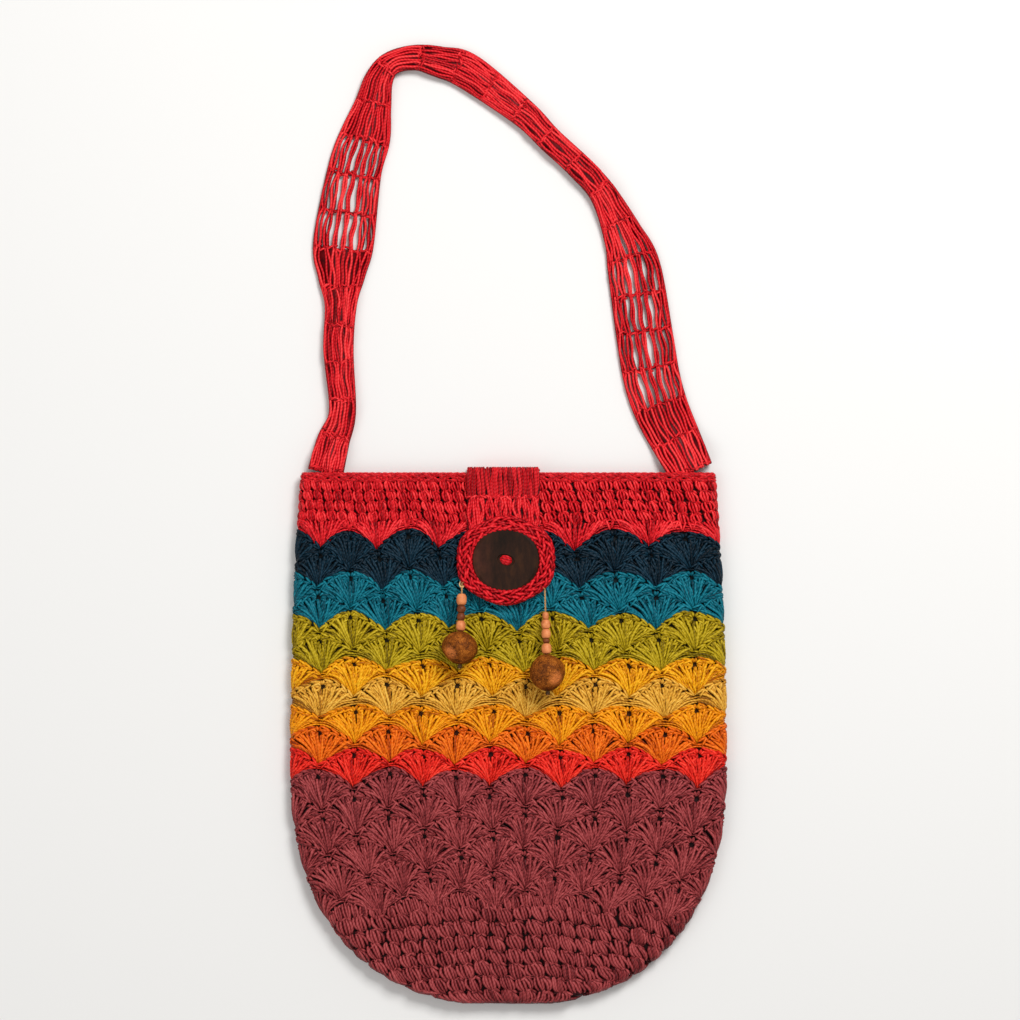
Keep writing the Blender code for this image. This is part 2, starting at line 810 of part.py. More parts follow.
def cut(obj, name, bm, location):
    """Takes the shape in bm out of obj. The cutter stays in the scene as a hidden guide."""
    look = obj.data.materials[0]
    cutter = finish_mesh(name, bm, look, obj.parent)
    cutter.location = location
    cutter.hide_render = True
    cutter.display_type = "WIRE"
    boolean = obj.modifiers.new(name, "BOOLEAN")
    boolean.operation = "DIFFERENCE"
    boolean.object = cutter


def add_button():
    seat = button_seat()
    wood = material("button_wood", (0.034, 0.019, 0.010), 0.55)
    bm = bmesh.new()
    edge = BUTTON_EDGE
    profile = ((BUTTON_RADIUS - edge, 0.0), (BUTTON_RADIUS, edge), (BUTTON_RADIUS, BUTTON_THICKNESS - edge),
               (BUTTON_RADIUS - 0.4 * edge, BUTTON_THICKNESS - 0.3 * edge),
               (BUTTON_RADIUS - 1.3 * edge, BUTTON_THICKNESS))
    rings = [disc(bm, radius, z, BUTTON_STEPS) for radius, z in profile]
    for lower, upper in zip(rings, rings[1:]):
        for step in range(BUTTON_STEPS):
            after = (step + 1) % BUTTON_STEPS
            bm.faces.new((lower[step], lower[after], upper[after], upper[step]))
    bm.faces.new(list(reversed(rings[0])))
    bm.faces.new(rings[-1])
    button = finish_mesh("wooden_button", bm, wood, seat)
    button.data.shade_smooth()
    button.data.set_sharp_from_angle(angle=math.radians(40))
    recess = bmesh.new()
    bmesh.ops.create_uvsphere(recess, u_segments=16, v_segments=8, radius=1.0)
    bmesh.ops.scale(recess, vec=(RECESS_LENGTH / 2.0, RECESS_WIDTH / 2.0, RECESS_DEPTH), verts=recess.verts)
    cut(button, "button_recess", recess, (0.0, 0.0, BUTTON_THICKNESS))
    for name, side in (("button_hole_left", -1.0), ("button_hole_right", 1.0)):
        hole = bmesh.new()
        bmesh.ops.create_cone(hole, cap_ends=True, segments=12, radius1=HOLE_RADIUS, radius2=HOLE_RADIUS,
                              depth=3.0 * BUTTON_THICKNESS)
        cut(button, name, hole, (side * HOLE_SPACING / 2.0, 0.0, BUTTON_THICKNESS / 2.0))
    return seat


def tube(name, points, radius, look, parent, sides=2, swell=None):
    """A round cord along the points. swell gives a share of the radius for each of them."""
    curve = bpy.data.curves.new(name, "CURVE")
    curve.dimensions = "3D"
    curve.bevel_depth = radius
    curve.bevel_resolution = sides
    curve.use_fill_caps = True
    spline = curve.splines.new("POLY")
    spline.points.add(len(points) - 1)
    for index, place in enumerate(points):
        spline.points[index].co = (*place, 1.0)
        spline.points[index].radius = swell[index] if swell else 1.0
    return add_object(name, curve, look, parent)


def add_button_thread(seat):
    """The red stitch that holds the button, down through both of its holes."""
    reach = HOLE_SPACING / 2.0
    low = -BUTTON_LIFT + SEAM_GAP / 2.0
    high = BUTTON_THICKNESS - RECESS_DEPTH + THREAD_RADIUS - 0.0003
    points = [(-reach, 0.0, low), (-reach, 0.0, 0.6 * high)]
    for step in range(9):
        angle = math.pi * (1.0 - step / 8.0)
        points.append((reach * math.cos(angle), 0.0, high - 0.4 * reach + 0.75 * reach * math.sin(angle)))
    points += [(reach, 0.0, 0.6 * high), (reach, 0.0, low)]
    return tube("button_thread", points, THREAD_RADIUS, material("red_yarn", RED, 0.85), seat, sides=1)


# The charms.


def bead_profile(radius, length):
    half = length / 2.0
    return ((BORE_RADIUS, -half), (0.72 * radius, -half), (radius, -0.42 * half), (radius, 0.42 * half),
            (0.72 * radius, half), (BORE_RADIUS, half))


def seed_profile(radius, half_length):
    """A slightly pear-shaped seed with a bore: fuller away from the cord's upper end."""
    first = math.asin(BORE_RADIUS / radius)
    points = []
    for step in range(SEED_RINGS + 1):
        angle = first + (math.pi - 2.0 * first) * step / SEED_RINGS
        fullness = 1.0 + 0.05 * math.cos(angle) * math.sin(angle)
        points.append((radius * fullness * math.sin(angle), -half_length * math.cos(angle)))
    points[0] = (BORE_RADIUS, points[0][1])
    points[-1] = (BORE_RADIUS, points[-1][1])
    return points


def add_charm(side, angle, seed_xy, seed_radius, seed_half, beads):
    """A cord tied to the loop, with its beads and seed turned about it. It swings about its own empty."""
    edge = loop_edge(angle)
    away = (edge - Vector((BUTTON_X, BUTTON_Y))).normalized()
    tie = edge + away * (CORD_RADIUS + SEAT_GAP)
    start = Vector((tie.x, tie.y, front_top(tie.x, tie.y) + CORD_HEIGHT))
    seed_z = front_top(*seed_xy) + SEED_CLEARANCE + max(seed_radius, seed_half)
    seed_at = Vector((*seed_xy, seed_z))
    way = (seed_at - start).normalized()
    swing = bpy.data.objects.new(f"{side}_charm_swing", None)
    bpy.context.scene.collection.objects.link(swing)
    swing.location = start
    turn = way.to_track_quat("Z", "Y").to_euler()
    pieces = [(f"{side}_seed", (seed_at - start).length, seed_profile(seed_radius, seed_half), SEED_STEPS,
               material("seed", SEED_BROWN, 0.6))]
    upper_end = (seed_at - start).length - seed_half
    for name, radius, length, colour in beads:
        run = upper_end - BEAD_GAP - length / 2.0
        look = material("peach_bead" if colour is PEACH else "brown_bead", colour, 0.5)
        pieces.append((f"{side}_{name}", run, bead_profile(radius, length), BEAD_STEPS, look))
        upper_end = run - length / 2.0
    for name, run, profile, steps, look in pieces:
        piece = turned(name, profile, steps, look, swing)
        piece.location = way * run
        piece.rotation_euler = turn
    knot_at = (seed_at - start).length + seed_half + BEAD_GAP
    count = math.ceil(knot_at / CORD_STEP)
    runs = [knot_at * index / count for index in range(count + 1)]
    swell = [1.0] * len(runs)
    for share, size in ((0.15, KNOT_SWELL), (0.75, KNOT_SWELL), (1.0, 1.2)):
        runs.append(knot_at + share * KNOT_LENGTH)
        swell.append(size)
    tube(f"{side}_charm_cord", [way * run for run in runs], CORD_RADIUS, material("tan_cord", TAN, 0.8), swing,
         sides=2, swell=swell)


def main():
    clear_scene()
    add_bag()
    add_strap()
    add_tab()
    add_loop()
    seat = add_button()
    add_button_thread(seat)
    for charm in CHARMS:
        add_charm(*charm)


main()
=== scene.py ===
"""Looks for the crochet crossbody bag: every stitch is made of yarn, strand by strand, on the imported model's shape.

Shapes are worked out in millimetres in the row frame and turned into metres as each mesh is made.
"""

import math

import bpy  # noqa: E402
import numpy as np  # noqa: E402
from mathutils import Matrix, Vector  # noqa: E402
from numpy import arange, clip, concatenate, cos, hypot, interp, linspace, sin, stack, where  # noqa: E402

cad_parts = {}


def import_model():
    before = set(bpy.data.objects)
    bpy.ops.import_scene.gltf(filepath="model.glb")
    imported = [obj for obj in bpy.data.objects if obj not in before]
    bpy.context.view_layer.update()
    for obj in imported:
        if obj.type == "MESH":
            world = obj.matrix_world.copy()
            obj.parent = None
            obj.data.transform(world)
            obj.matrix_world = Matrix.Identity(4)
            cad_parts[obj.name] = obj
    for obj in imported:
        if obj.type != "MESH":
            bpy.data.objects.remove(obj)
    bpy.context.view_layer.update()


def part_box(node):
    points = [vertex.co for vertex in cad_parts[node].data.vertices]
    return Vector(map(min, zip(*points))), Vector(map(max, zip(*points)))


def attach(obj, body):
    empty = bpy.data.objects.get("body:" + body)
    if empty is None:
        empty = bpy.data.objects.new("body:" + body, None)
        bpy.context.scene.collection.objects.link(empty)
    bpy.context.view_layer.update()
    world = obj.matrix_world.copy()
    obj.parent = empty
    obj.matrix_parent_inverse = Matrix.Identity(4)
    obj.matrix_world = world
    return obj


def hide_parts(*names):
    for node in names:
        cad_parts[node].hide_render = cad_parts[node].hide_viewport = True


MM = 0.001
PI, TURN = math.pi, 2 * math.pi
RNG = np.random.default_rng(7)
draw = RNG.uniform
BOTH = (-1.0, 1.0)

# The bag's shape, as in the CAD model.
RIM_Y, BOTTOM_Y, CURVE_START_Y = 29.7, -283.4, -140.0
HALF_WIDTH, RIM_HALF_WIDTH, OUTLINE_POWER = 128.5, 122.0, 2.4
FOLD, CROWN, RIM_CROWN, CROWN_RUN, RIDGE = 5.0, 4.5, 1.2, 60.0, 1.6
BOW_START_Y, BOW_RUN, BOW = -155.0, 80.0, 0.001
DRIFT, DRIFT_END_Y, RED_FAN_POINT_Y = -11.8, -87.3, -15.0
FANS_ROUND, FAN_COLUMNS, FAN_HEIGHT = 13, 8, 22.4
COLUMNS = FANS_ROUND * FAN_COLUMNS
FOLD_COLUMN = COLUMNS / 2
RIM_ROLL, RED_ROWS, RED_ROW_PITCH = 4.5, 4, 6.1
BASE_ROWS, BASE_ROW_PITCH, BASE_ARCH = 7, 8.0, 10.0

# Yarn: the strand's radius, and how far under the surface strands lie at the back, in front and at the folds.
STRAND = 0.90
BACK_SINK, FRONT_SINK, FOLD_SINK = 2.7, 0.65, 1.1
BACKING_LIFT, BACKING_WALL = -1.1, 0.4
RIM_STRAND, RED_STITCH, SMALL_STITCH, BASE_STITCH = 0.88, 7.1, 4.9, 10.2
POSTS = 9

# Each band of fans under the red one: name, rows, spacing and colours from shade to light.
BANDS = (
    ("navy", 2, 11.8, ((2, 12, 20), (6, 31, 44), (18, 54, 72))),
    ("teal", 2, 12.0, ((0, 54, 66), (4, 98, 114), (24, 130, 146))),
    ("green", 2, 12.3, ((100, 80, 0), (170, 144, 10), (206, 178, 44))),
    ("gold", 1, 14.7, ((168, 84, 0), (230, 156, 6), (246, 188, 36))),
    ("straw", 1, 11.8, ((156, 96, 14), (222, 162, 52), (242, 192, 86))),
    ("amber", 1, 15.9, ((168, 76, 0), (232, 142, 4), (248, 174, 28))),
    ("orange", 1, 11.7, ((158, 54, 0), (227, 100, 8), (246, 132, 32))),
    ("coral", 1, 13.5, ((150, 8, 4), (226, 36, 24), (248, 74, 54))),
    ("plum", 6, 12.0, ((84, 20, 24), (144, 54, 56), (180, 82, 82))),
)
# The yarns' colours run from painted shade to painted highlight; the woods' colours run through their grain.
RED_SHADES = ((128, 0, 8), (214, 20, 32), (248, 72, 72))
TAN_SHADES = ((150, 104, 58), (204, 156, 98), (232, 192, 138))
PEACH_SHADES = ((176, 92, 46), (216, 131, 78), (236, 160, 106))
BROWN_SHADES = ((72, 30, 10), (116, 56, 22), (148, 82, 38))
BUTTON_SHADES, BUTTON_RED = ((16, 7, 1), (38, 19, 8), (62, 35, 16)), (92, 46, 34)
SEED_STOPS = ((0.28, (38, 17, 2)), (0.43, (90, 43, 7)), (0.57, (138, 72, 15)), (0.74, (196, 116, 40)))
SCAR_SHADE = (216, 124, 62)


# Sums that the shapes share.


def clamp(t):
    return clip(t, 0.0, 1.0)


def smooth(t):
    t = clamp(t)
    return t * t * (3 - 2 * t)


def arch(s, start=0.0, run=1.0):
    """Half a turn of a sine along a strand, or a stretch of it."""
    return sin(PI * (start + run * s))


def wave(t, turns, shift=0.0):
    """A sine along a strand that starts at random."""
    return sin(TURN * (turns * t + draw(0, 1) + shift))


def jitter(like, amount):
    return draw(-amount, amount, np.shape(like))


def belly(s, ends=0.6):
    """A strand's thickness along it: full in the middle and thinner where it dives."""
    return ends + (1 - ends) * arch(s)


def circle(turn, across, over, wide=1.0, high=1.0):
    """Offsets round a line by angle, from two directions across it."""
    return cos(turn)[:, None] * across * wide + sin(turn)[:, None] * over * high


def distances(line):
    """How far along a line of (x, y) each of its points is."""
    return concatenate([[0], np.cumsum(hypot(*np.diff(line[:, :2], axis=0).T))])


def grid_faces(rows, columns, wrap_rows, wrap_columns):
    """Quads over a grid of points."""
    i, j = np.meshgrid(arange(rows - (not wrap_rows)), arange(columns - (not wrap_columns)), indexing="ij")
    here, ahead, right = i * columns, (i + 1) % rows * columns, (j + 1) % columns
    return stack([here + j, here + right, ahead + right, ahead + j], -1).reshape(-1, 4)


# The bag's surface.


def sunk(y):
    """How far down the curve of the base a height is, from 0 to 1."""
    return clamp((CURVE_START_Y - y) / (CURVE_START_Y - BOTTOM_Y))


def half_width(y):
    low = HALF_WIDTH * (1 - sunk(y) ** OUTLINE_POWER) ** (1 / OUTLINE_POWER)
    raised = (y - CURVE_START_Y) / (RIM_Y - CURVE_START_Y)
    return where(y < CURVE_START_Y, low, HALF_WIDTH - (HALF_WIDTH - RIM_HALF_WIDTH) * raised**2)


def bow(y):
    return BOW * clamp((BOW_START_Y - y) / BOW_RUN)


LEVELS = linspace(BOTTOM_Y, RIM_Y, 800)


def reach_table():
    """How far out the bowed rows go at each level."""
    low, high = np.zeros_like(LEVELS), np.full_like(LEVELS, HALF_WIDTH)
    for _ in range(30):
        middle = (low + high) / 2
        inside = middle < half_width(LEVELS - bow(LEVELS) * middle**2)
        low, high = where(inside, middle, low), where(inside, high, middle)
    return low


REACHES = reach_table()


def reach(y):
    return interp(y, LEVELS, REACHES)


def column_width(y):
    """The width of one column at a height."""
    return (2 * (reach(y) - FOLD) + PI * FOLD) / FOLD_COLUMN


def crown(x, y):
    rise = RIM_CROWN + (CROWN - RIM_CROWN) * smooth((RIM_Y - y) / CROWN_RUN)
    return rise * (1 - sunk(y) ** 2) * clamp(1 - (x / HALF_WIDTH) ** 2)


def front_top(x, y):
    return 2 * FOLD + crown(x, y) + RIDGE


def side_of(column):
    """Whether a column is in front, and its share of the way across."""
    column = np.mod(column, COLUMNS)
    front = column <= FOLD_COLUMN
    return front, where(front, column, COLUMNS - column) / FOLD_COLUMN


def is_front(column):
    """Whether a stitch is in front or round a fold, where it is made in full."""
    return np.mod(column + 1.5, COLUMNS) < FOLD_COLUMN + 3


def warp(column, y):
    """The small wander of hand-made rows: no two fans are quite alike."""
    turn = TURN * column / COLUMNS
    fade = smooth((RIM_Y - 6 - y) / 20) * smooth((y - BOTTOM_Y) / 20)
    across = 0.16 * sin(y / 15 + 6 * turn) + 0.10 * sin(y / 6.3 - 9 * turn)
    up = 0.8 * sin(8 * turn + y / 31) + 0.45 * sin(19 * turn - y / 12)
    return column + fade * across, y + fade * up


def surface(column, y, lift):
    """Points of the bag by column round it, height up it and lift off it."""
    column, y = warp(column, y)
    column, y, lift = np.broadcast_arrays(column, y, lift)
    front, share = side_of(column)
    flat = reach(y) - FOLD
    arc = PI * FOLD / 2
    total = 2 * flat + 2 * arc
    run = share * total
    left, right = run < arc, run > total - arc
    angle = where(left, run / FOLD, where(right, (total - run) / FOLD, PI / 2))
    base = where(left, -flat, where(right, flat, run - arc - flat))
    side = where(left, -1.0, where(right, 1.0, 0.0))
    toe = 1 - clamp((y - BOTTOM_Y) / FOLD)
    flatness = np.sqrt(1 - toe**2)
    weight = sin(angle) * flatness
    sink = where(front, FRONT_SINK, BACK_SINK)
    out = weight * (lift - sink) + (1 - weight) * (0.5 * lift - FOLD_SINK)
    x = base + side * (FOLD + out) * cos(angle)
    low_y = y - bow(y) * x**2 - out * toe
    height = (FOLD + out) * sin(angle) * flatness
    z = where(front, FOLD + height + crown(x, low_y) * weight, FOLD - height)
    drift = DRIFT * clamp((y - DRIFT_END_Y) / (RED_FAN_POINT_Y - DRIFT_END_Y)) * arch(share)
    return stack([x + where(front, drift, 0.0), low_y, z], axis=-1)


def slant(column, y):
    """How far a column leans for each millimetre up it."""
    front, share = side_of(column)
    narrowing = clip((reach(y + 1.0) - reach(y - 1.0)) / 2, 0.0, 2.5)
    return narrowing * (2 * share - 1) * where(front, 1.0, -1.0)


def lay(column, y, dx, dy, lift):
    """Points at dx and dy millimetres from places on the bag, at a lift."""
    level = clip(y + dy, BOTTOM_Y, RIM_Y)
    return surface(column + (dx - slant(column, y) * dy) / column_width(level), level, lift)


# Strands of yarn.


def add_object(name, data):
    made = bpy.data.objects.new(name, data)
    bpy.context.scene.collection.objects.link(made)
    return made


def place(name, mesh, look, body, nodes=()):
    """Adds a piece to its body and hides the nodes that it stands for."""
    piece = add_object(name, mesh)
    mesh.materials.append(look)
    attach(piece, body)
    if nodes:
        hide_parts(*nodes)
    return piece


class Yarn:
    """Strands for one mesh. Each vertex keeps its place round and along its strand, and a tint that holds its random
    tone and painted shade.
    """

    def __init__(self):
        self.points, self.strand, self.tint, self.quads, self.tris = [], [], [], [], []
        self.count = 0

    def keep(self, points, strand, tint, quads=np.zeros((0, 4), int), tris=np.zeros((0, 3), int)):
        self.points.append(points)
        self.strand.append(strand)
        self.tint.append(tint)
        self.quads.append(quads + self.count)
        self.tris.append(tris + self.count)
        self.count += len(points)

    def add(self, paths, radius, tint=0.6, sides=5, closed=False):
        """Strands along (strands, points, 3), or one along (points, 3). radius and tint are for all or by point."""
        paths = np.array(paths, float, ndmin=3)
        strands, count, _ = paths.shape
        radius, tint = (np.broadcast_to(np.asarray(value, float), (strands, count)) for value in (radius, tint))
        way = np.roll(paths, -1, 1) - np.roll(paths, 1, 1) if closed else np.gradient(paths, axis=1)
        way /= np.linalg.norm(way, axis=2, keepdims=True) + 1e-9
        side = np.cross(way, np.eye(3)[np.abs(way).max(1).argmin(1)][:, None, :])
        side /= np.linalg.norm(side, axis=2, keepdims=True) + 1e-9
        over = np.cross(side, way)
        turn = PI / 2 + TURN * arange(sides) / sides
        body = paths[:, :, None] + circle(turn, side[:, :, None], over[:, :, None]) * radius[:, :, None, None]
        steps = np.linalg.norm(np.diff(paths, axis=1), axis=2)
        along = concatenate([np.zeros((strands, 1)), np.cumsum(steps, 1)], 1)
        along = along + draw(0, 9, (strands, 1))
        strand = np.empty((strands, count, sides, 3))
        strand[..., 0], strand[..., 1] = cos(turn), sin(turn)
        strand[..., 2] = along[:, :, None]
        first = arange(strands)[:, None] * count * sides
        quads = first[..., None] + grid_faces(count, sides, closed, True)
        self.keep(body.reshape(-1, 3), strand.reshape(-1, 3), np.repeat(tint[:, :, None], sides, 2).reshape(-1),
                  quads.reshape(-1, 4))
        if closed:
            return
        s, first = arange(sides), first + self.count - strands * count * sides
        for end, sign in ((0, -1.0), (count - 1, 1.0)):
            tips = paths[:, end] + way[:, end] * radius[:, end, None] * 0.6 * sign
            facts = stack([np.zeros(strands), np.zeros(strands), along[:, end]], -1)
            ring = first + end * sides
            tip = self.count + arange(strands)[:, None] + np.zeros((1, sides), int)
            tris = stack([ring + s, ring + (s + 1) % sides, tip], -1).reshape(-1, 3)
            self.keep(tips, facts, tint[:, end], tris=(tris if sign > 0 else tris[:, ::-1]) - self.count)

    def add_grid(self, points, tint, wrap=False):
        """A sheet behind the strands, from a grid of points (rows, columns, 3)."""
        rows, columns, _ = points.shape
        strand = np.zeros((rows * columns, 3))
        strand[:, 0] = 1.0
        strand[:, 2] = np.repeat(arange(rows), columns)
        self.keep(points.reshape(-1, 3), strand, np.full(rows * columns, tint), grid_faces(rows, columns, False, wrap))

    def build(self, name, look, nodes=(), body="bag"):
        points, quads, tris = (concatenate(parts) for parts in (self.points, self.quads, self.tris))
        mesh = bpy.data.meshes.new(name)
        mesh.vertices.add(len(points))
        mesh.vertices.foreach_set("co", (points * MM).astype(np.float32).ravel())
        loops = concatenate([quads.ravel(), tris.ravel()]).astype(np.int32)
        mesh.loops.add(len(loops))
        mesh.loops.foreach_set("vertex_index", loops)
        mesh.polygons.add(len(quads) + len(tris))
        starts = concatenate([arange(len(quads)) * 4, len(quads) * 4 + arange(len(tris)) * 3])
        mesh.polygons.foreach_set("loop_start", starts.astype(np.int32))
        for fact, kind, key, values in (("strand", "FLOAT_VECTOR", "vector", self.strand),
                                        ("tint", "FLOAT", "value", self.tint)):
            data = mesh.attributes.new(fact, kind, "POINT").data
            data.foreach_set(key, concatenate(values).astype(np.float32).ravel())
        mesh.update(calc_edges=True)
        mesh.validate()
        mesh.shade_smooth()
        return place(name, mesh, look, body, nodes)


# Stitches. Each is worked out in millimetres about its own place and laid on the bag's surface.


class Posts:
    """Some posts of a row of fans, each a line from the fan's point up to its dome."""

    def __init__(self, fan, post, point_y, top_of, heads=True):
        self.fan, self.post, self.top_of = fan[:, None], post[:, None], top_of
        self.spread = FAN_COLUMNS / (POSTS + 0.1) * self.post + self.vary(0.08)
        self.top_y = top_of(self.spread) - 1.3 + self.vary(0.4)
        if heads:
            self.top_y = self.top_y - 4.2 * (self.post == 0) - 0.9 * (np.abs(self.post) == 1)
        wide, rise = (0.10, 0.30) if heads else (0.18, 0.48)
        self.foot = wide * self.post + self.vary(0.02)
        self.foot_y = point_y + rise * np.abs(self.post) + 0.4 + self.vary(0.25)
        self.droop = (np.abs(self.post) / (POSTS / 2)) ** 1.5

    def vary(self, amount):
        return jitter(self.fan, amount)

    def along(self, t):
        rise = t * (1 - self.droop) + (1 - np.abs(1 - t) ** 1.9) * self.droop
        return self.fan + self.foot + (self.spread - self.foot) * t, self.foot_y + (self.top_y - self.foot_y) * rise

    def at(self, t, lateral, lift):
        """Points part of the way up each post, to its side and at a lift."""
        column, level = self.along(t)
        ahead_column, ahead_level = self.along(t + 0.03)
        way_x, way_y = (ahead_column - column) * column_width(level), ahead_level - level
        size = hypot(way_x, way_y)
        return lay(column, level, way_y / size * lateral, -way_x / size * lateral, lift)

    def add_legs(self, yarn, points, sides):
        """Two strands twisted loosely about each other."""
        t = linspace(0, 1, points)
        apart = 0.50 + 0.60 * smooth(t * 1.3)
        turn = self.vary(1.2) + (2.9 + self.vary(0.9)) * t
        lift = -0.35 + 1.0 * smooth(t * 1.6) + 0.55 * arch(t) + self.vary(0.15)
        radius = STRAND * (0.68 + 0.36 * smooth(t * 2.2) - 0.12 * t) * (1 + self.vary(0.08))
        for side in (0.0, PI):
            lateral, rise = apart * cos(turn + side), 0.5 * sin(turn + side)
            # Each ply is painted lighter where it rides up and darker where it dips, as shade.
            yarn.add(self.at(t, lateral, lift + rise), radius, 0.55 + 0.16 * rise + self.vary(0.12), sides)

    def add_between(self, yarn):
        """A deeper strand between each post and the next, painted darker as shade."""
        t = linspace(0.2, 1.0, 4)
        lift = -0.35 + 0.5 * smooth(t) + self.vary(0.2)
        paths = self.at(t, (2.15 + self.vary(0.3)) * t, lift)
        yarn.add(paths, STRAND * 1.1, 0.30 + self.vary(0.08) + 0 * t, 3)

    def add_dash(self, yarn, middle, half, lateral, tilt, lift, thickness):
        """A short raised strand lying across each post."""
        s = linspace(0, 1, 4)
        t = middle + self.vary(0.06) + (2 * s - 1) * half
        side = lateral + self.vary(0.4) + (2 * s - 1) * (tilt + self.vary(0.3))
        rise = lift + 0.75 * arch(s) + self.vary(0.15)
        yarn.add(self.at(t, side, rise), thickness * belly(s) + 0 * rise, 0.70 + self.vary(0.14), 4)

    def add_heads(self, yarn, points, sides):
        """A chain along the dome's edge: a V of two strands for each post but the middle one."""
        level = self.top_of(self.spread)
        slope = (self.top_of(self.spread + 0.1) - self.top_of(self.spread - 0.1)) / (0.2 * column_width(level))
        size = hypot(1, slope)
        way_x, way_y = 1 / size, slope / size
        keep = (self.post != 0)[:, 0]
        s = linspace(0, 1, points)
        along = -2.7 + 5.4 * s + self.vary(0.5)
        for side in BOTH:
            inward = 1.15 + side * (0.1 + 1.25 * (1 - s) ** 0.9) + self.vary(0.25)
            dx, dy = along * way_x + inward * way_y, along * way_y - inward * way_x
            paths = lay(self.fan + self.spread, level, dx, dy, 0.75 + 0.85 * arch(s, 0.1, 0.8) + self.vary(0.15))
            yarn.add(paths[keep], 0.92 * belly(s, 0.62), (0.62 + self.vary(0.14))[keep], sides)

    def add_stars(self, yarn):
        """Petals round the hole below the middle of each dome, where the next fan is worked."""
        fan = self.fan[(self.post == 0)[:, 0]]
        level = self.top_of(0 * fan)
        s = linspace(0, 1, 5)
        for turn in np.radians(linspace(-118, 118, 8)):
            angle = turn + jitter(fan, 0.12)
            out = 1.7 + 3.3 * s * (1 - 0.25 * cos(angle)) + jitter(fan, 0.25)
            lift = 0.45 + 0.95 * arch(s, 0.1, 0.75) + jitter(fan, 0.15)
            paths = lay(fan, level, out * sin(angle), out * cos(angle) - 4.2, lift)
            yarn.add(paths, 0.92 * belly(s), 0.68 + jitter(fan, 0.12), 4)


def add_fans(yarn, point_y, phase, top_of, heads=True):
    """A row of fans: nine posts each, from a point up to heads along the dome's edge. Plainer at the back."""
    fan, post = np.meshgrid(phase + FAN_COLUMNS * arange(FANS_ROUND), arange(POSTS) - (POSTS - 1) / 2,
                            indexing="ij")
    fan, post = fan.ravel().astype(float), post.ravel()
    front = is_front(fan + post)
    posts = Posts(fan[front], post[front], point_y, top_of, heads)
    posts.add_legs(yarn, 7, 5)
    posts.add_between(yarn)
    posts.add_dash(yarn, 0.42, 0.16, 0.1, 0.8, 0.70, 0.80)
    posts.add_dash(yarn, 0.68, 0.14, -0.1, -0.9, 0.85, 0.86)
    if heads:
        posts.add_dash(yarn, 0.84, 0.10, 2.1, 0.9, 0.55, 0.84)
        posts.add_heads(yarn, 5, 4)
        posts.add_stars(yarn)
    posts = Posts(fan[~front], post[~front], point_y, top_of, heads)
    posts.add_legs(yarn, 6, 3)
    if heads:
        posts.add_heads(yarn, 4, 3)


def add_wings(yarn, phase, below, count):
    """Strands from each fan's point outwards, along the edges of the domes under it."""
    s = linspace(0, 1, 8)
    fan = (phase + FAN_COLUMNS * arange(FANS_ROUND)).astype(float)
    for front in (True, False):
        for side in BOTH:
            chosen = fan[is_front(fan + 2 * side) == front][:, None]
            for wing in range(count):
                column = chosen + side * (0.3 + 3.9 * s)
                level = below(column) + 0.9 + 1.55 * wing * smooth(s * 1.5) + 0.25 * sin(9 * s + 2 * wing)
                lift = 0.65 * arch(s) + 0.3 * sin(11 * s + 3 * wing) + jitter(chosen, 0.15)
                shade = 0.50 + jitter(chosen, 0.14)
                if front:
                    yarn.add(surface(column, level, lift), STRAND * 0.95 * belly(s, 0.7), shade, 4)
                elif wing % 2 == 0:
                    yarn.add(surface(column, level, lift)[:, ::2], STRAND, shade, 3)


def add_teeth(yarn, fans, level):
    """Three short pairs of strands hanging down between the fans."""
    s = linspace(0, 1, 5)
    fan = fans[:, None].astype(float)
    for tooth, length in ((-1.1, 4.6), (-0.2, 5.4), (0.8, 4.4)):
        for side in BOTH:
            dx = tooth * 4.9 + side * (0.35 + 1.5 * (1 - s)) + jitter(fan, 0.5)
            dy = 1.2 - (length + jitter(fan, 0.7)) * s
            lift = 0.35 + 0.9 * arch(s, 0.15, 0.7) + jitter(fan, 0.15)
            yarn.add(lay(fan, level, dx, dy, lift), STRAND * belly(s, 0.7), 0.66 + jitter(fan, 0.12), 4)


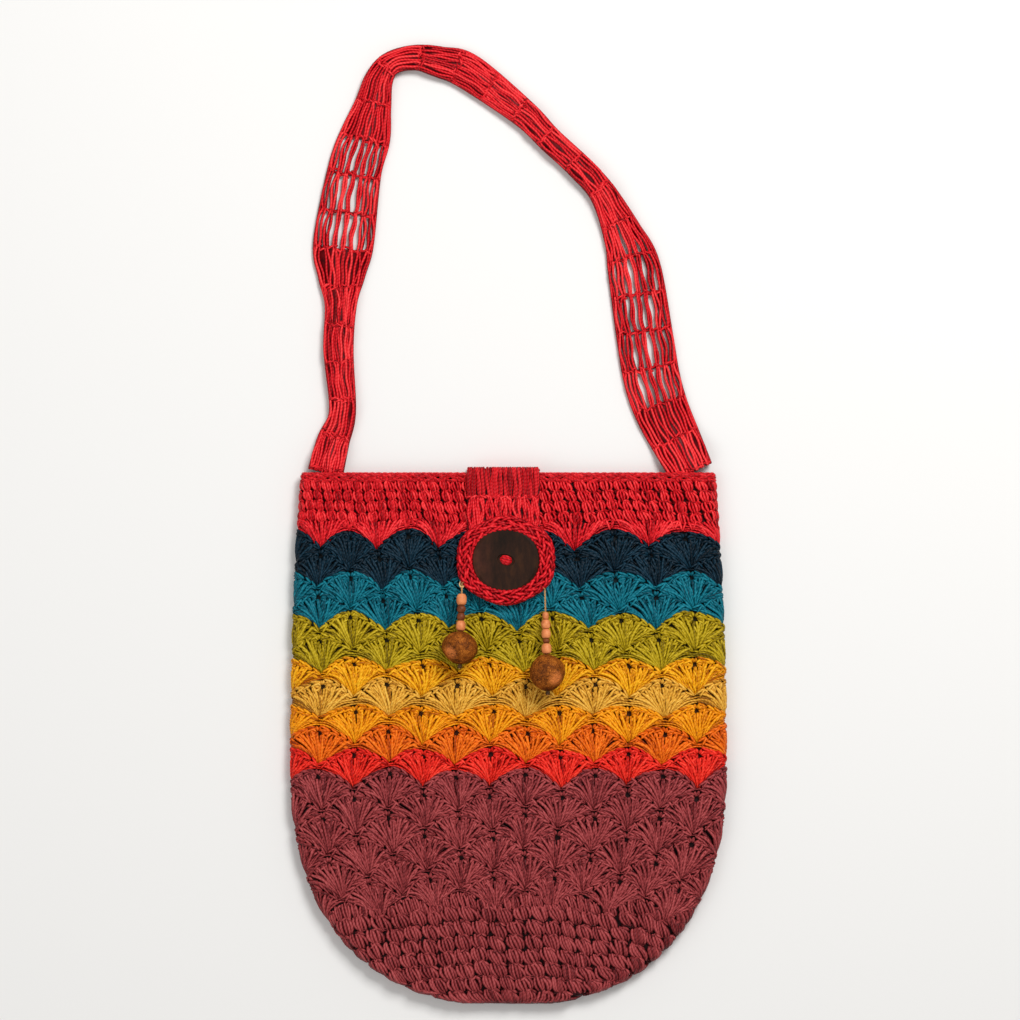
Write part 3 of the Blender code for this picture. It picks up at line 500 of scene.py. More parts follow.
def add_crochet_row(yarn, level_of, pitch, height, shift, radius, strands=4, lean=0.30, gather=0.66, keep=None):
    """A row of single crochet: slanted strands side by side, gathered at each stitch's ends so that holes open."""
    middle = float(np.mean(level_of(arange(COLUMNS))))
    around = int(round(COLUMNS * float(column_width(np.array(middle))) / pitch))
    column = ((arange(around) + shift) * COLUMNS / around)[:, None] + jitter(np.zeros((around, 1)), 0.05)
    if keep is not None:
        column = column[keep(column)[:, 0]]
    for front in (True, False):
        chosen = column[is_front(column)[:, 0] == front]
        y = level_of(chosen)
        size = np.asarray(height(chosen) if callable(height) else height + 0 * chosen)
        s = linspace(0, 1, 5 if front else 4)
        for strand in range(strands):
            share = (strand + 0.5) / strands - 0.5
            together = gather + (1.03 - gather) * arch(s) + jitter(y, 0.08)
            dx = share * pitch * together + jitter(y, 0.32)
            dx = dx + (lean + jitter(y, 0.16)) * (0.5 - s) * size
            dy = (s - 0.5) * size * (1.08 - 1.2 * share**2) + jitter(y, 0.55)
            lift = 0.35 + 0.85 * arch(s, 0.02, 0.92) + jitter(y, 0.35)
            yarn.add(lay(chosen, y, dx, dy, lift), radius * belly(s, 0.68) * (1 + jitter(y, 0.08)),
                     0.62 + jitter(y, 0.15), 4 if front else 3)
        for side in BOTH if front else ():
            dx = 0.10 * pitch + side * 0.30 * pitch * (1 - s) + jitter(y, 0.3)
            dy = (0.34 + 0.22 * s + jitter(y, 0.06)) * size
            lift = 0.5 + 0.7 * arch(s) + jitter(y, 0.2)
            yarn.add(lay(chosen, y, dx, dy, lift), radius * 0.8 * belly(s, 0.6), 0.64 + jitter(y, 0.14), 4)
        # Deeper strands across the foot of each stitch, painted darker as shade.
        for drop in (-0.44, -0.58) if front else (-0.5,):
            dx = (s - 0.5) * 0.70 * pitch + jitter(y, 0.5)
            dy = (drop + 0.10 * (s - 0.5)) * size
            lift = -0.35 + 0.35 * arch(s) + jitter(y, 0.1)
            yarn.add(lay(chosen, y, dx, dy, lift), radius * 0.9, 0.34 + jitter(y, 0.08), 3)


def add_shade_backing(yarn, top_of, bottom_of, rows):
    """A sheet painted dark as shade inside the cloth, between two edges."""
    column = arange(0.0, COLUMNS)
    share = linspace(0, 1, rows)[:, None]
    level = top_of(column) * (1 - share) + bottom_of(column) * share
    lift = where(is_front(column), BACKING_LIFT, BACKING_LIFT + 1.0)
    # Both faces are painted shade: darkest where seen through the holes, less dark inside the bag.
    yarn.add_grid(surface(column, level, lift), 0.20, wrap=True)
    yarn.add_grid(surface(column, level, lift - BACKING_WALL)[::-1], 0.42, wrap=True)


# Edges of rows, each a height by column, and the bands between them.


def level_at(y):
    return lambda column: np.full(np.shape(column), float(y))


def seam(top, valley, phase):
    def level(column):
        off = np.mod(column - phase + FAN_COLUMNS / 2, FAN_COLUMNS) - FAN_COLUMNS / 2
        return top - (top - valley) * (off / (FAN_COLUMNS / 2)) ** 2

    return level


def fan_rows():
    """For each band, its rows as (height of the points, phase, edge of the domes)."""
    phase, point_y, bands = FAN_COLUMNS // 2, RED_FAN_POINT_Y, []
    for _, count, pitch, _ in BANDS:
        rows = []
        for _ in range(count):
            above, point_y = point_y, point_y - pitch
            phase = FAN_COLUMNS // 2 - phase
            rows.append((point_y, phase, seam(point_y + FAN_HEIGHT, above, phase)))
        bands.append(rows)
    return bands


def add_rim(yarn):
    """The rolled rim: long strands braided round the mouth."""
    column = linspace(0, COLUMNS, 400, endpoint=False)
    for strand in range(5):
        turn = TURN * (column / COLUMNS * (31 + 4 * (strand % 2)) + strand / 5)
        path = surface(column, RIM_Y - 2.9 + 1.7 * sin(turn), 0.65 + 0.65 * cos(2 * turn + strand))
        yarn.add(path, RIM_STRAND, 0.57 + 0.08 * (strand % 3), sides=4, closed=True)
    turn = TURN * column / COLUMNS * 60
    for phase in (0.0, PI):
        path = surface(column, RIM_Y - 0.8 + 0.45 * sin(turn + phase), 0.1 + 0.6 * cos(turn + phase))
        yarn.add(path, 0.85, 0.6, sides=4, closed=True)


def make_red_band(look, first_row):
    """The rim, and the rows of single crochet and the red fans under it."""
    yarn = Yarn()
    add_rim(yarn)
    rows_top = RIM_Y - RIM_ROLL
    for row in range(RED_ROWS):
        middle = rows_top - (row + 0.5) * RED_ROW_PITCH
        add_crochet_row(yarn, level_at(middle), RED_STITCH, RED_ROW_PITCH, 0.22 * row, 0.96)
    fan_top = rows_top - RED_ROWS * RED_ROW_PITCH
    phase = FAN_COLUMNS // 2 - first_row[1]
    add_fans(yarn, RED_FAN_POINT_Y, phase, level_at(fan_top + 1.6), heads=False)
    add_wings(yarn, phase, first_row[2], 4)
    add_teeth(yarn, first_row[1] + FAN_COLUMNS * arange(FANS_ROUND), fan_top)
    add_shade_backing(yarn, level_at(RIM_Y - 0.6), first_row[2], 8)
    yarn.build("red_crochet", look, ["band_red_rim"])


def add_fan_rows(yarn, rows, following, after):
    """Rows of fans, with wings where a row leaves room over the domes below it."""
    edges = [row[2] for row in rows[1:]] + [following]
    tops = [row[0] + FAN_HEIGHT for row in rows[1:]] + [after]
    for (point_y, phase, edge), below, top_below in zip(rows, edges, tops):
        add_fans(yarn, point_y, phase, lambda spread, e=edge, p=phase: e(spread + p))
        valley = float(edge(np.array(phase + FAN_COLUMNS / 2.0)))
        add_wings(yarn, phase, below, 1 + int(max(0.0, valley - top_below) / 1.6))


def make_band(name, look, rows, below):
    yarn = Yarn()
    add_fan_rows(yarn, rows, below[2], below[0] + FAN_HEIGHT)
    add_shade_backing(yarn, rows[0][2], below[2], 7)
    yarn.build(f"{name}_crochet", look, [f"band_{name}"])


def make_plum(look, rows):
    """The plum fans in two pieces, then the base in single crochet under them."""
    base_top, last_phase = rows[-1][0], rows[-1][1]
    half = len(rows) // 2

    def rise(column):
        off = np.mod(column - last_phase, FAN_COLUMNS) - FAN_COLUMNS / 2
        return BASE_ARCH * (1 - (off / (FAN_COLUMNS / 2)) ** 2)

    parts = ((rows[:half], rows[half][2], rows[half][2], rows[half][0] + FAN_HEIGHT),
             (rows[half:], level_at(base_top), lambda column: base_top + rise(column), base_top + BASE_ARCH))
    for part, (chosen, backed_to, following, after) in enumerate(parts):
        yarn = Yarn()
        add_fan_rows(yarn, chosen, following, after)
        add_shade_backing(yarn, chosen[0][2], backed_to, 8)
        yarn.build(f"plum_crochet_fans_{part + 1}", look, () if part else ["band_plum_base"])
    yarn = Yarn()
    add_crochet_row(yarn, lambda column: base_top + 0.50 * rise(column), SMALL_STITCH,
                    lambda column: 2.4 + 0.68 * rise(column), 0.25, 1.0, 3,
                    keep=lambda column: rise(column) > 2.0)
    for row in range(BASE_ROWS):
        middle = base_top - (row + 0.5) * BASE_ROW_PITCH
        add_crochet_row(yarn, lambda column, m=middle, a=0.22 * 0.6**row: m + a * rise(column), BASE_STITCH,
                        BASE_ROW_PITCH, 0.19 * row, 1.16, 5, 0.40, 0.74)
    add_shade_backing(yarn, level_at(base_top), level_at(BOTTOM_Y + 0.3), 16)
    yarn.build("plum_crochet_base", look)


# The strap: x, y and width along its centre line.

STRAP_ROUTE = (
    (-107.9, 30.1, 21.2), (-103.5, 48.5, 19.4), (-98.0, 66.1, 16.0), (-100.4, 102.0, 17.9), (-99.1, 128.5, 19.0),
    (-98.8, 144.9, 27.6), (-97.6, 164.9, 35.9), (-91.0, 207.9, 32.0), (-84.5, 229.0, 30.0), (-80.0, 247.3, 22.0),
    (-76.5, 262.0, 17.0), (-69.5, 271.5, 14.0), (-55.0, 275.0, 15.0), (-39.7, 272.2, 18.6), (-23.5, 266.7, 21.5),
    (9.1, 242.0, 16.6), (24.1, 227.0, 15.0), (43.2, 209.2, 15.2), (56.2, 194.0, 16.3), (67.3, 171.4, 23.4),
    (74.1, 151.3, 31.5), (80.6, 110.0, 33.6), (84.7, 85.8, 33.6), (90.3, 67.6, 32.5), (98.5, 50.0, 30.0),
    (108.2, 30.1, 26.2),
)
STRAP_ROWS, STRAP_PAIRS = 26, 7
STRAP_OPEN_ROWS = (6, 7, 8, 19, 20, 21, 22, 23)
STRAP_THICKNESS, STRAP_BUNCHED_AREA, STRAP_BASE_THICKNESS, STRAP_BASE_RUN = 3.4, 105.0, 9.8, 30.0
STRAP_YARN, STRAP_JOIN_YARN = 0.82, 0.78


def strap_table():
    """The strap's route as a smooth line of close points."""
    ends = np.array([STRAP_ROUTE[0], *STRAP_ROUTE, STRAP_ROUTE[-1]])
    t = linspace(0, 1, 12, endpoint=False)[:, None]
    made = [0.5 * (2 * b + (c - a) * t + (2 * a - 5 * b + 4 * c - d) * t**2 + (3 * b - 3 * c + d - a) * t**3)
            for a, b, c, d in zip(ends, ends[1:], ends[2:], ends[3:])]
    return concatenate([*made, ends[-1:]])


STRAP_LINE = strap_table()
STRAP_AT = distances(STRAP_LINE)
STRAP_LENGTH = STRAP_AT[-1]


def strap_line(run):
    """x, y and width at a distance along the strap."""
    return np.array([interp(run, STRAP_AT, values) for values in STRAP_LINE.T])


def strap_thickness(run):
    flat = clip(STRAP_BUNCHED_AREA / strap_line(run)[2], STRAP_THICKNESS, 2.2 * STRAP_THICKNESS)
    near = np.minimum(run, STRAP_LENGTH - run)
    return STRAP_BASE_THICKNESS + (flat - STRAP_BASE_THICKNESS) * smooth(near / STRAP_BASE_RUN)


def strap_points(run, across, z):
    """Points by distance along the strap, distance across it and height."""
    run, across, z = np.broadcast_arrays(clip(run, 0, STRAP_LENGTH), across, z)
    x, y, _ = strap_line(run)
    dx, dy, _ = strap_line(run + 3) - strap_line(run - 3)
    size = hypot(dx, dy)
    return stack([x + dy / size * across, y - dx / size * across, z], -1)


def add_strap_shade_core(yarn, first, last):
    """A sheet painted dark as shade inside the strap where it can't be seen through."""
    run = linspace(first, last, 3 * int((last - first) / 10) + 2)
    half, low, high = strap_line(run)[2] / 2 - 1.5, 1.3 + 0 * run, strap_thickness(run) - 1.3
    corners = [strap_points(run, side * half, level)
               for side, level in ((-1, low), (1, low), (1, high), (-1, high))]
    yarn.add_grid(stack(corners, 1)[:, ::-1], 0.36, wrap=True)


def add_strap_row(yarn, row, pitch):
    """Pairs of long strands above and below, spread apart where the row is open."""
    t = linspace(0, 1, 10)
    run = (row + t) * pitch
    room, thick = strap_line(run)[2] - 2 * STRAP_YARN, strap_thickness(run)
    spacing = room / STRAP_PAIRS
    is_open = row in STRAP_OPEN_ROWS
    crowd = clip(2 * STRAP_PAIRS * 1.6 / room - 1, 0, 0.8)
    for pair in range(STRAP_PAIRS):
        inner = is_open and abs(pair - STRAP_PAIRS // 2) <= 1
        outward = np.sign(pair - STRAP_PAIRS // 2) * (0.7 if is_open and not inner else 0.0)
        sway = draw(-0.8, 0.8) * arch(t) + draw(-0.35, 0.35) * sin(TURN * t)
        centre = ((pair + 0.5) / STRAP_PAIRS - 0.5) * room + sway + outward * arch(t)
        apart = 0.55 + 0.10 * arch(t) if inner else np.maximum(spacing * 0.27 * (0.55 + 0.5 * arch(t)), 0.5)
        for side in BOTH:
            across = clip(centre + side * apart + 0.30 * wave(t, 1.4), -room / 2, room / 2)
            stacked = crowd * 1.5 * (side > 0)
            z = thick - STRAP_YARN - 0.32 - stacked + 0.30 * wave(t, 1.3, 0.5 * (row % 2))
            # A strand pushed under its neighbour is painted darker as shade.
            yarn.add(strap_points(run, across, z), STRAP_YARN * (0.9 + 0.12 * arch(t)),
                     draw(0.40, 0.78) - 0.14 * float(stacked.mean() > 0.5))
        under = centre + 0.4 * sin(TURN * t)
        for side in (0.0,) if inner else BOTH:
            lane = clip(under + side * spacing * 0.22, -room / 2, room / 2)
            yarn.add(strap_points(run, lane, STRAP_YARN + 0.1), STRAP_YARN, draw(0.4, 0.7), 3)
    for edge in BOTH:
        for share in (0.36, 0.68):
            z = STRAP_YARN + (thick - 2 * STRAP_YARN) * share
            yarn.add(strap_points(run, edge * room / 2, z), STRAP_YARN, draw(0.4, 0.7), 4)


def add_strap_join(yarn, run):
    """Short strands across the strap that draw its pairs together."""
    room, thick = float(strap_line(run)[2]) - 2 * STRAP_YARN, float(strap_thickness(run))
    s = linspace(0, 1, 5)
    for knot in range(2 * STRAP_PAIRS - 1):
        middle = ((knot + 1) / (2 * STRAP_PAIRS) - 0.5) * room + draw(-0.3, 0.3)
        tilt = draw(-1.3, 1.3)
        across = clip(middle + (s - 0.5) * 3.4, -room / 2, room / 2)
        along = clip(run + (s - 0.5) * 2 * tilt + draw(-1.6, 1.6), 1.0, STRAP_LENGTH - 1.0)
        z = thick - STRAP_YARN - 0.45 + 0.42 * arch(s)
        yarn.add(strap_points(along, across, z), STRAP_JOIN_YARN * belly(s, 0.7), draw(0.4, 0.76), 4)
        if knot % 2:
            yarn.add(strap_points(run + 0 * s, across, STRAP_YARN + 0.2), STRAP_JOIN_YARN, 0.5, 3)


def make_strap(look):
    yarn = Yarn()
    pitch = STRAP_LENGTH / STRAP_ROWS
    for row in range(STRAP_ROWS):
        add_strap_row(yarn, row, pitch)
    for join in range(STRAP_ROWS + 1):
        add_strap_join(yarn, clip(join * pitch, 1.6, STRAP_LENGTH - 1.6))
    open_rows = [-1, *STRAP_OPEN_ROWS, STRAP_ROWS]
    for before, after in zip(open_rows, open_rows[1:]):
        if after - before > 1:
            add_strap_shade_core(yarn, max(1.5, (before + 1) * pitch), min(STRAP_LENGTH - 1.5, after * pitch))
    yarn.build("strap_crochet", look, ["shoulder_strap"])


# The closure.

SEAT_GAP = 0.4
BUTTON_X, BUTTON_Y, BUTTON_RADIUS = -1.5, -21.5, 20.0
LOOP_HALF_WIDTH, LOOP_HALF_HEIGHT, LOOP_CORNERS = 28.5, 25.2, 0.018
LOOP_STRAND, LOOP_EDGE_STRAND = 1.02, 0.92
TAB_LEFT_X, TAB_RIGHT_X, TAB_THICKNESS, TAB_ROW_Y, TAB_BEND = -25.0, 19.1, 2.8, 15.6, 3.0
TAB_MIDDLE_X = (TAB_LEFT_X + TAB_RIGHT_X) / 2
TAB_PAIRS, TAB_KNOTS, TAB_STRAND = 8, 15, 0.88


def loop_edge(angle):
    out = 1 - LOOP_CORNERS * cos(6 * angle)
    return BUTTON_X + LOOP_HALF_WIDTH * out * cos(angle), BUTTON_Y + LOOP_HALF_HEIGHT * out * sin(angle)


def loop_points(angle, share, height):
    """Points of the loop by angle, share of its width and height. Its inner edge laps over the button."""
    outer_x, outer_y = loop_edge(angle)
    far = hypot(outer_x - BUTTON_X, outer_y - BUTTON_Y)
    lap = np.abs(sin(angle)) ** 3
    near = BUTTON_RADIUS + 0.2 - 2.2 * lap
    radius = near + (far - near) * share
    x = BUTTON_X + (outer_x - BUTTON_X) / far * radius
    y = BUTTON_Y + (outer_y - BUTTON_Y) / far * radius
    over = 1.3 * lap * smooth((BUTTON_RADIUS + 1.0 - radius) / 2.0)
    return stack([x, y, front_top(x, y) + height + over], -1)


def make_loop(look):
    """Two braids of three strands side by side over a padded core painted dark as shade, with strands down the outer
    wall.
    """
    yarn = Yarn()
    angle = linspace(0, TURN, 96, endpoint=False)
    core = ((0.42, 0.6), (0.40, 3.6), (0.6, 4.0), (0.86, 3.2), (0.90, 0.6), (0.42, 0.6))
    # The core is painted dark as the shade between the braids.
    yarn.add_grid(stack([loop_points(angle, share, height) for share, height in core]), 0.05, wrap=True)
    here = linspace(0, TURN, 360, endpoint=False)
    for middle, height, turns in ((0.30, 4.7, 8), (0.71, 4.5, -9)):
        for strand in range(3):
            turn = turns * here + TURN * strand / 3
            share = middle + 0.21 * sin(turn) + 0.02 * sin(7 * here + strand)
            # A tone for each strand, painted lighter where it rides up and darker where it dips, as shade.
            shade = 0.43 + 0.10 * (strand - 1) + 0.08 * sin(2 * turn)
            yarn.add(loop_points(here, share, height + 0.62 * sin(2 * turn)), LOOP_STRAND, shade, closed=True)
    for share, height, turns in ((0.03, 4.4, 43), (0.97, 3.7, 37), (1.0, 2.2, 31), (1.0, 0.9, 29)):
        turn = turns * here
        path = loop_points(here, share + 0.025 * sin(turn), height + 0.35 * cos(turn))
        yarn.add(path, LOOP_EDGE_STRAND, 0.50 + 0.08 * sin(turn), closed=True)
    yarn.build("loop_crochet", look, ["button_loop"])


def tab_table():
    """The line along the tab's outer side, as (y, z): up the back, over the rim and down the front."""
    top = 2 * FOLD + RIM_CROWN + RIDGE + SEAT_GAP + TAB_THICKNESS
    outer = RIM_Y + SEAT_GAP + TAB_THICKNESS
    bend = [(outer - TAB_BEND + TAB_BEND * math.cos(a), top - TAB_BEND + TAB_BEND * math.sin(a))
            for a in linspace(0, PI / 2, 5)]
    front_y = linspace(bend[-1][0] - 2.0, -6.0, 18)
    front_z = front_top(TAB_MIDDLE_X, front_y) + SEAT_GAP + TAB_THICKNESS
    return np.array([(outer, 0.9), (outer, 4.0), (outer, 8.0), *bend, *zip(front_y, front_z)])


TAB_LINE = tab_table()
TAB_AT = distances(TAB_LINE)


def tab_run(y):
    """How far along the tab a height in front is."""
    return float(interp(-y, -TAB_LINE[2:, 0], TAB_AT[2:]))


def tab_end(x, margin):
    """How far along the tab its end at the loop is, at x."""
    off = (x - BUTTON_X) / (LOOP_HALF_WIDTH * 1.02)
    return tab_run(BUTTON_Y + LOOP_HALF_HEIGHT * 1.02 * math.sqrt(1 - off**2) - margin)


def tab_path(x, run, sink):
    """Points in the tab at x, by distance along it and depth under its outer side."""
    y, z = (interp(run, TAB_AT, values) for values in TAB_LINE.T)
    z = z + (front_top(x, y) - front_top(TAB_MIDDLE_X, y)) * smooth((z - 6) / 6)
    over = smooth((run - 9.0) / 5.0)
    return stack([x + 0 * run, y - sink * (1 - over), z - sink * over], -1)


def make_tab(look):
    """Two rows of tall stitches over the rim, each two twisted pairs of strands over a filler, knotted between."""
    yarn = Yarn()
    row_at = tab_run(TAB_ROW_Y)
    edges = TAB_LEFT_X + 0.9, TAB_RIGHT_X - 0.9
    s = linspace(0, 1, 16)
    spacing = (TAB_RIGHT_X - TAB_LEFT_X - 1.6) / TAB_PAIRS
    for row in range(2):
        for pair in range(TAB_PAIRS):
            middle = TAB_LEFT_X + 0.8 + (pair + 0.5) * spacing
            start, end = (0.0, row_at + 0.6) if row == 0 else (row_at - 0.6, tab_end(middle, 1.6))
            run = start + (end - start) * s
            lean = draw(-1.0, 1.0) * s
            for group in BOTH:
                apart = 0.75 + 0.70 * arch(s) if row else 1.30 + 0.20 * sin(PI * s + 0.6)
                turn = PI * (draw(0, 1) + draw(1.2, 2.6) * s)
                sway = 0.35 * wave(s, 1.2)
                for ply in BOTH:
                    x = clip(middle + group * apart + lean + sway + ply * 0.66 * cos(turn), *edges)
                    yarn.add(tab_path(x, run, 1.25 + 0.35 * ply * sin(turn)), TAB_STRAND, draw(0.46, 0.72))
            yarn.add(tab_path(middle + lean, run, 2.0), 1.0, 0.40)
    s = linspace(0, 1, 6)
    for knot in range(TAB_KNOTS):
        middle = TAB_LEFT_X + 1.6 + (TAB_RIGHT_X - TAB_LEFT_X - 3.2) * knot / (TAB_KNOTS - 1)
        x = clip(middle + (s - 0.5) * 3.6, *edges)
        run = row_at + draw(-1.2, 1.2) + (s - 0.5) * draw(-3.0, 3.0)
        yarn.add(tab_path(x, run, 1.0 - 0.3 * arch(s)), 0.8 * belly(s, 0.7), draw(0.45, 0.8))
    # A sheet under the strands, painted dark as the shade between them.
    rows = [[tab_path(x, np.array([tab_end(x, 1.0) * share]), 2.2)[0] for x in linspace(*edges, 12)]
            for share in linspace(0.01, 1, 18)]
    yarn.add_grid(np.array(rows), 0.32)
    yarn.build("tab_crochet", look, ["closure_tab"])


def make_button_stitch(look):
    """The red stitch through the button: four strands over the bridge between its holes."""
    yarn = Yarn()
    above, below = (front_top(BUTTON_X, BUTTON_Y + side * BUTTON_RADIUS) for side in (1, -1))
    slope = (above - below) / (2 * BUTTON_RADIUS)
    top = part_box("wooden_button")[1].z / MM - 2.3
    turn = math.radians(-15)
    s = linspace(0, 1, 13)
    for strand in range(4):
        side = (strand - 1.5) * (1.15 - 0.25 * cos(TURN * s))
        along = (s - 0.5) * (8.0 - 0.5 * np.abs(side))
        rise = 1.25 * arch(s) ** 0.6 - 0.30 * np.abs(side)
        x = BUTTON_X + along * math.cos(turn) - side * math.sin(turn)
        y = BUTTON_Y + along * math.sin(turn) + side * math.cos(turn)
        z = top + rise - 1.6 * np.abs(2 * s - 1) ** 6 + slope * (y - BUTTON_Y)
        yarn.add(stack([x, y, z], -1), 0.86, 0.55 + 0.08 * (strand % 2), sides=8)
    yarn.build("button_stitch", look, ["button_thread"])


# The charms.

CORD_RADIUS, CORD_TWIST, BORE_RADIUS, BEAD_GAP, KNOT_LENGTH = 0.55, 3.4, 0.9, 0.3, 2.2
CORD_HEIGHT, SEED_CLEARANCE = 3.0, 0.5
# Each charm: side, angle round the loop, seed centre, seed radius, half length, scar, beads (name, radius, length).
CHARMS = (
    ("left", math.radians(211), (-28.2, -72.6), 9.7, 9.7, (-6.2, -2.9),
     (("lower_peach", 2.8, 5.9), ("lower_brown", 2.4, 4.4), ("upper_brown", 2.6, 4.1), ("upper_peach", 3.0, 6.5))),
    ("right", math.radians(-40), (22.6, -87.0), 10.0, 10.8, (4.8, -2.8),
     (("lowest_peach", 2.9, 5.9), ("brown_disc", 2.1, 2.6), ("third_peach", 2.7, 5.3), ("second_peach", 2.7, 5.3),
      ("small_peach", 1.9, 4.1))),
)


def axes_across(way):
    """Two directions across a line, the first of them level."""
    across = np.cross(way, [0, 0, 1.0])
    across /= np.linalg.norm(across)
    return across, np.cross(across, way)


def turned_mesh(name, profile, sides, way, centre, rough=0.0):
    """A turned piece from (radius, height) pairs about a line through centre."""
    radius, height = np.array(profile).T[:, None, :, None]
    ring = circle(TURN * arange(sides) / sides, *axes_across(way))
    points = centre + ring[:, None] * radius + way * height
    if rough:
        waves = [(RNG.normal(0, 1, 3) * scale, draw(0, 6)) for scale in (0.25, 0.45, 0.9) for _ in range(3)]
        bump = sum(sin(points @ along + shift) / np.linalg.norm(along) for along, shift in waves)
        swell = clamp((radius - BORE_RADIUS) / 3)[..., 0]
        points = points + ring[:, None] * (rough * bump * swell)[..., None]
    faces = grid_faces(sides, len(profile), True, True)[:, ::-1]
    mesh = bpy.data.meshes.new(name)
    mesh.from_pydata((points.reshape(-1, 3) * MM).tolist(), [], faces.tolist())
    mesh.update()
    mesh.shade_smooth()
    return mesh


def bead_profile(radius, length, squareness):
    """A rounded bead with a bore, fuller the squarer it is."""
    half = length / 2
    t = linspace(-1, 1, 13)
    out = (1 - np.abs(t) ** squareness) ** (1 / squareness)
    edge = 0.30 * radius + BORE_RADIUS * 0.4
    outer = [(max(edge, radius * (0.35 + 0.65 * o)) if abs(h) < 0.999 else edge + 0.25 * radius, half * h)
             for h, o in zip(t, out)]
    return [(BORE_RADIUS, -half), *outer, (BORE_RADIUS, half)]


def seed_profile(radius, half):
    """A round seed with a bore, a little fuller at its upper half."""
    first = math.asin(BORE_RADIUS / radius)
    angles = linspace(first, PI - first, 28)
    profile = [(radius * (1 + 0.05 * math.cos(a) * math.sin(a)) * math.sin(a), -half * math.cos(a)) for a in angles]
    profile[0], profile[-1] = (BORE_RADIUS, profile[0][1]), (BORE_RADIUS, profile[-1][1])
    return profile


def make_charm(side, angle, seed_xy, seed_radius, seed_half, scar, beads, looks):
    """The twisted cord with its eye and knot, and the beads and seed on it, each riding on its own body."""
    edge = Vector(loop_edge(angle))
    away = (edge - Vector((BUTTON_X, BUTTON_Y))).normalized()
    tie = edge + away * (CORD_RADIUS + SEAT_GAP)
    start = np.array([tie.x, tie.y, float(front_top(tie.x, tie.y)) + CORD_HEIGHT])
    seed_at = np.array([*seed_xy, float(front_top(*seed_xy)) + SEED_CLEARANCE + max(seed_radius, seed_half)])
    span = np.linalg.norm(seed_at - start)
    way = (seed_at - start) / span
    across, over = axes_across(way)

    def add_piece(node, ending, shape, sides, centre, look, rough=0.0):
        mesh = turned_mesh(f"{node}_{ending}", shape, sides, way, centre, rough)
        return place(f"{node}_{ending}", mesh, look, node, [node])

    seed_look = seed_material(f"{side}_seed_shell", (seed_at + (*scar, 0.75 * seed_radius)) * MM)
    shape = seed_profile(seed_radius, seed_half)
    pieces = [add_piece(f"{side}_seed", "shell", shape, 56, seed_at, seed_look, rough=0.10)]
    upper = span - seed_half
    for name, radius, length in beads:
        slot = "peach_bead" if name.endswith("peach") else "brown_bead"
        run = upper - BEAD_GAP - length / 2
        upper = run - length / 2
        shape = bead_profile(radius, length, 2.6 if slot == "peach_bead" else 2.2)
        pieces.append(add_piece(f"{side}_bead_{name}", "turned", shape, 28, start + way * run, looks[slot]))
    knot_at = span + seed_half + BEAD_GAP
    length = knot_at + KNOT_LENGTH
    yarn = Yarn()
    runs = linspace(0, length, 90)
    for ply in (0.0, PI):
        ring = circle(TURN * runs / CORD_TWIST + ply, across, over)
        yarn.add(start + way * runs[:, None] + ring * 0.27, 0.30, 0.6, sides=8)
    ring = circle(linspace(0, TURN, 24, endpoint=False), across, over)
    # The knot below the seed is painted dark, as the shade there.
    for lift in (0.2, 0.62):
        yarn.add(start + way * (knot_at + lift * KNOT_LENGTH) + ring * 0.75, 0.62, 0.10, sides=8, closed=True)
    cord = yarn.build(f"{side}_cord_twist", looks["tan_cord"], [f"{side}_charm_cord"], f"{side}_charm")
    path = [tuple((start + way * run) * MM) for run in linspace(0, length, 16)]
    eye = Yarn()
    turn = linspace(0, TURN, 28, endpoint=False)
    inward = np.array([-away.x, -away.y, 0.0])
    if side == "left":
        eye.add(start + way * 0.4 + circle(turn, way, across, 1.8, 1.4), 0.42, 0.75, sides=8, closed=True)
    eye.add(start + inward * 1.2 + circle(turn, inward, over, 1.5, 1.6), 0.34, 0.6, sides=8, closed=True)
    eye.build(f"{side}_cord_eye", looks["tan_cord"])


# Materials.


def srgb(colour):
    """A colour in 0 to 255 as the linear values that the shader takes."""
    return [((c / 255 + 0.055) / 1.055) ** 2.4 if c > 10 else c / 255 / 12.92 for c in colour]


def plain_material(name, roughness, specular=0.5):
    material = bpy.data.materials.new(name)
    material.use_nodes = True
    shader = material.node_tree.nodes["Principled BSDF"]
    shader.inputs["Roughness"].default_value = roughness
    shader.inputs["Specular IOR Level"].default_value = specular
    return material, shader


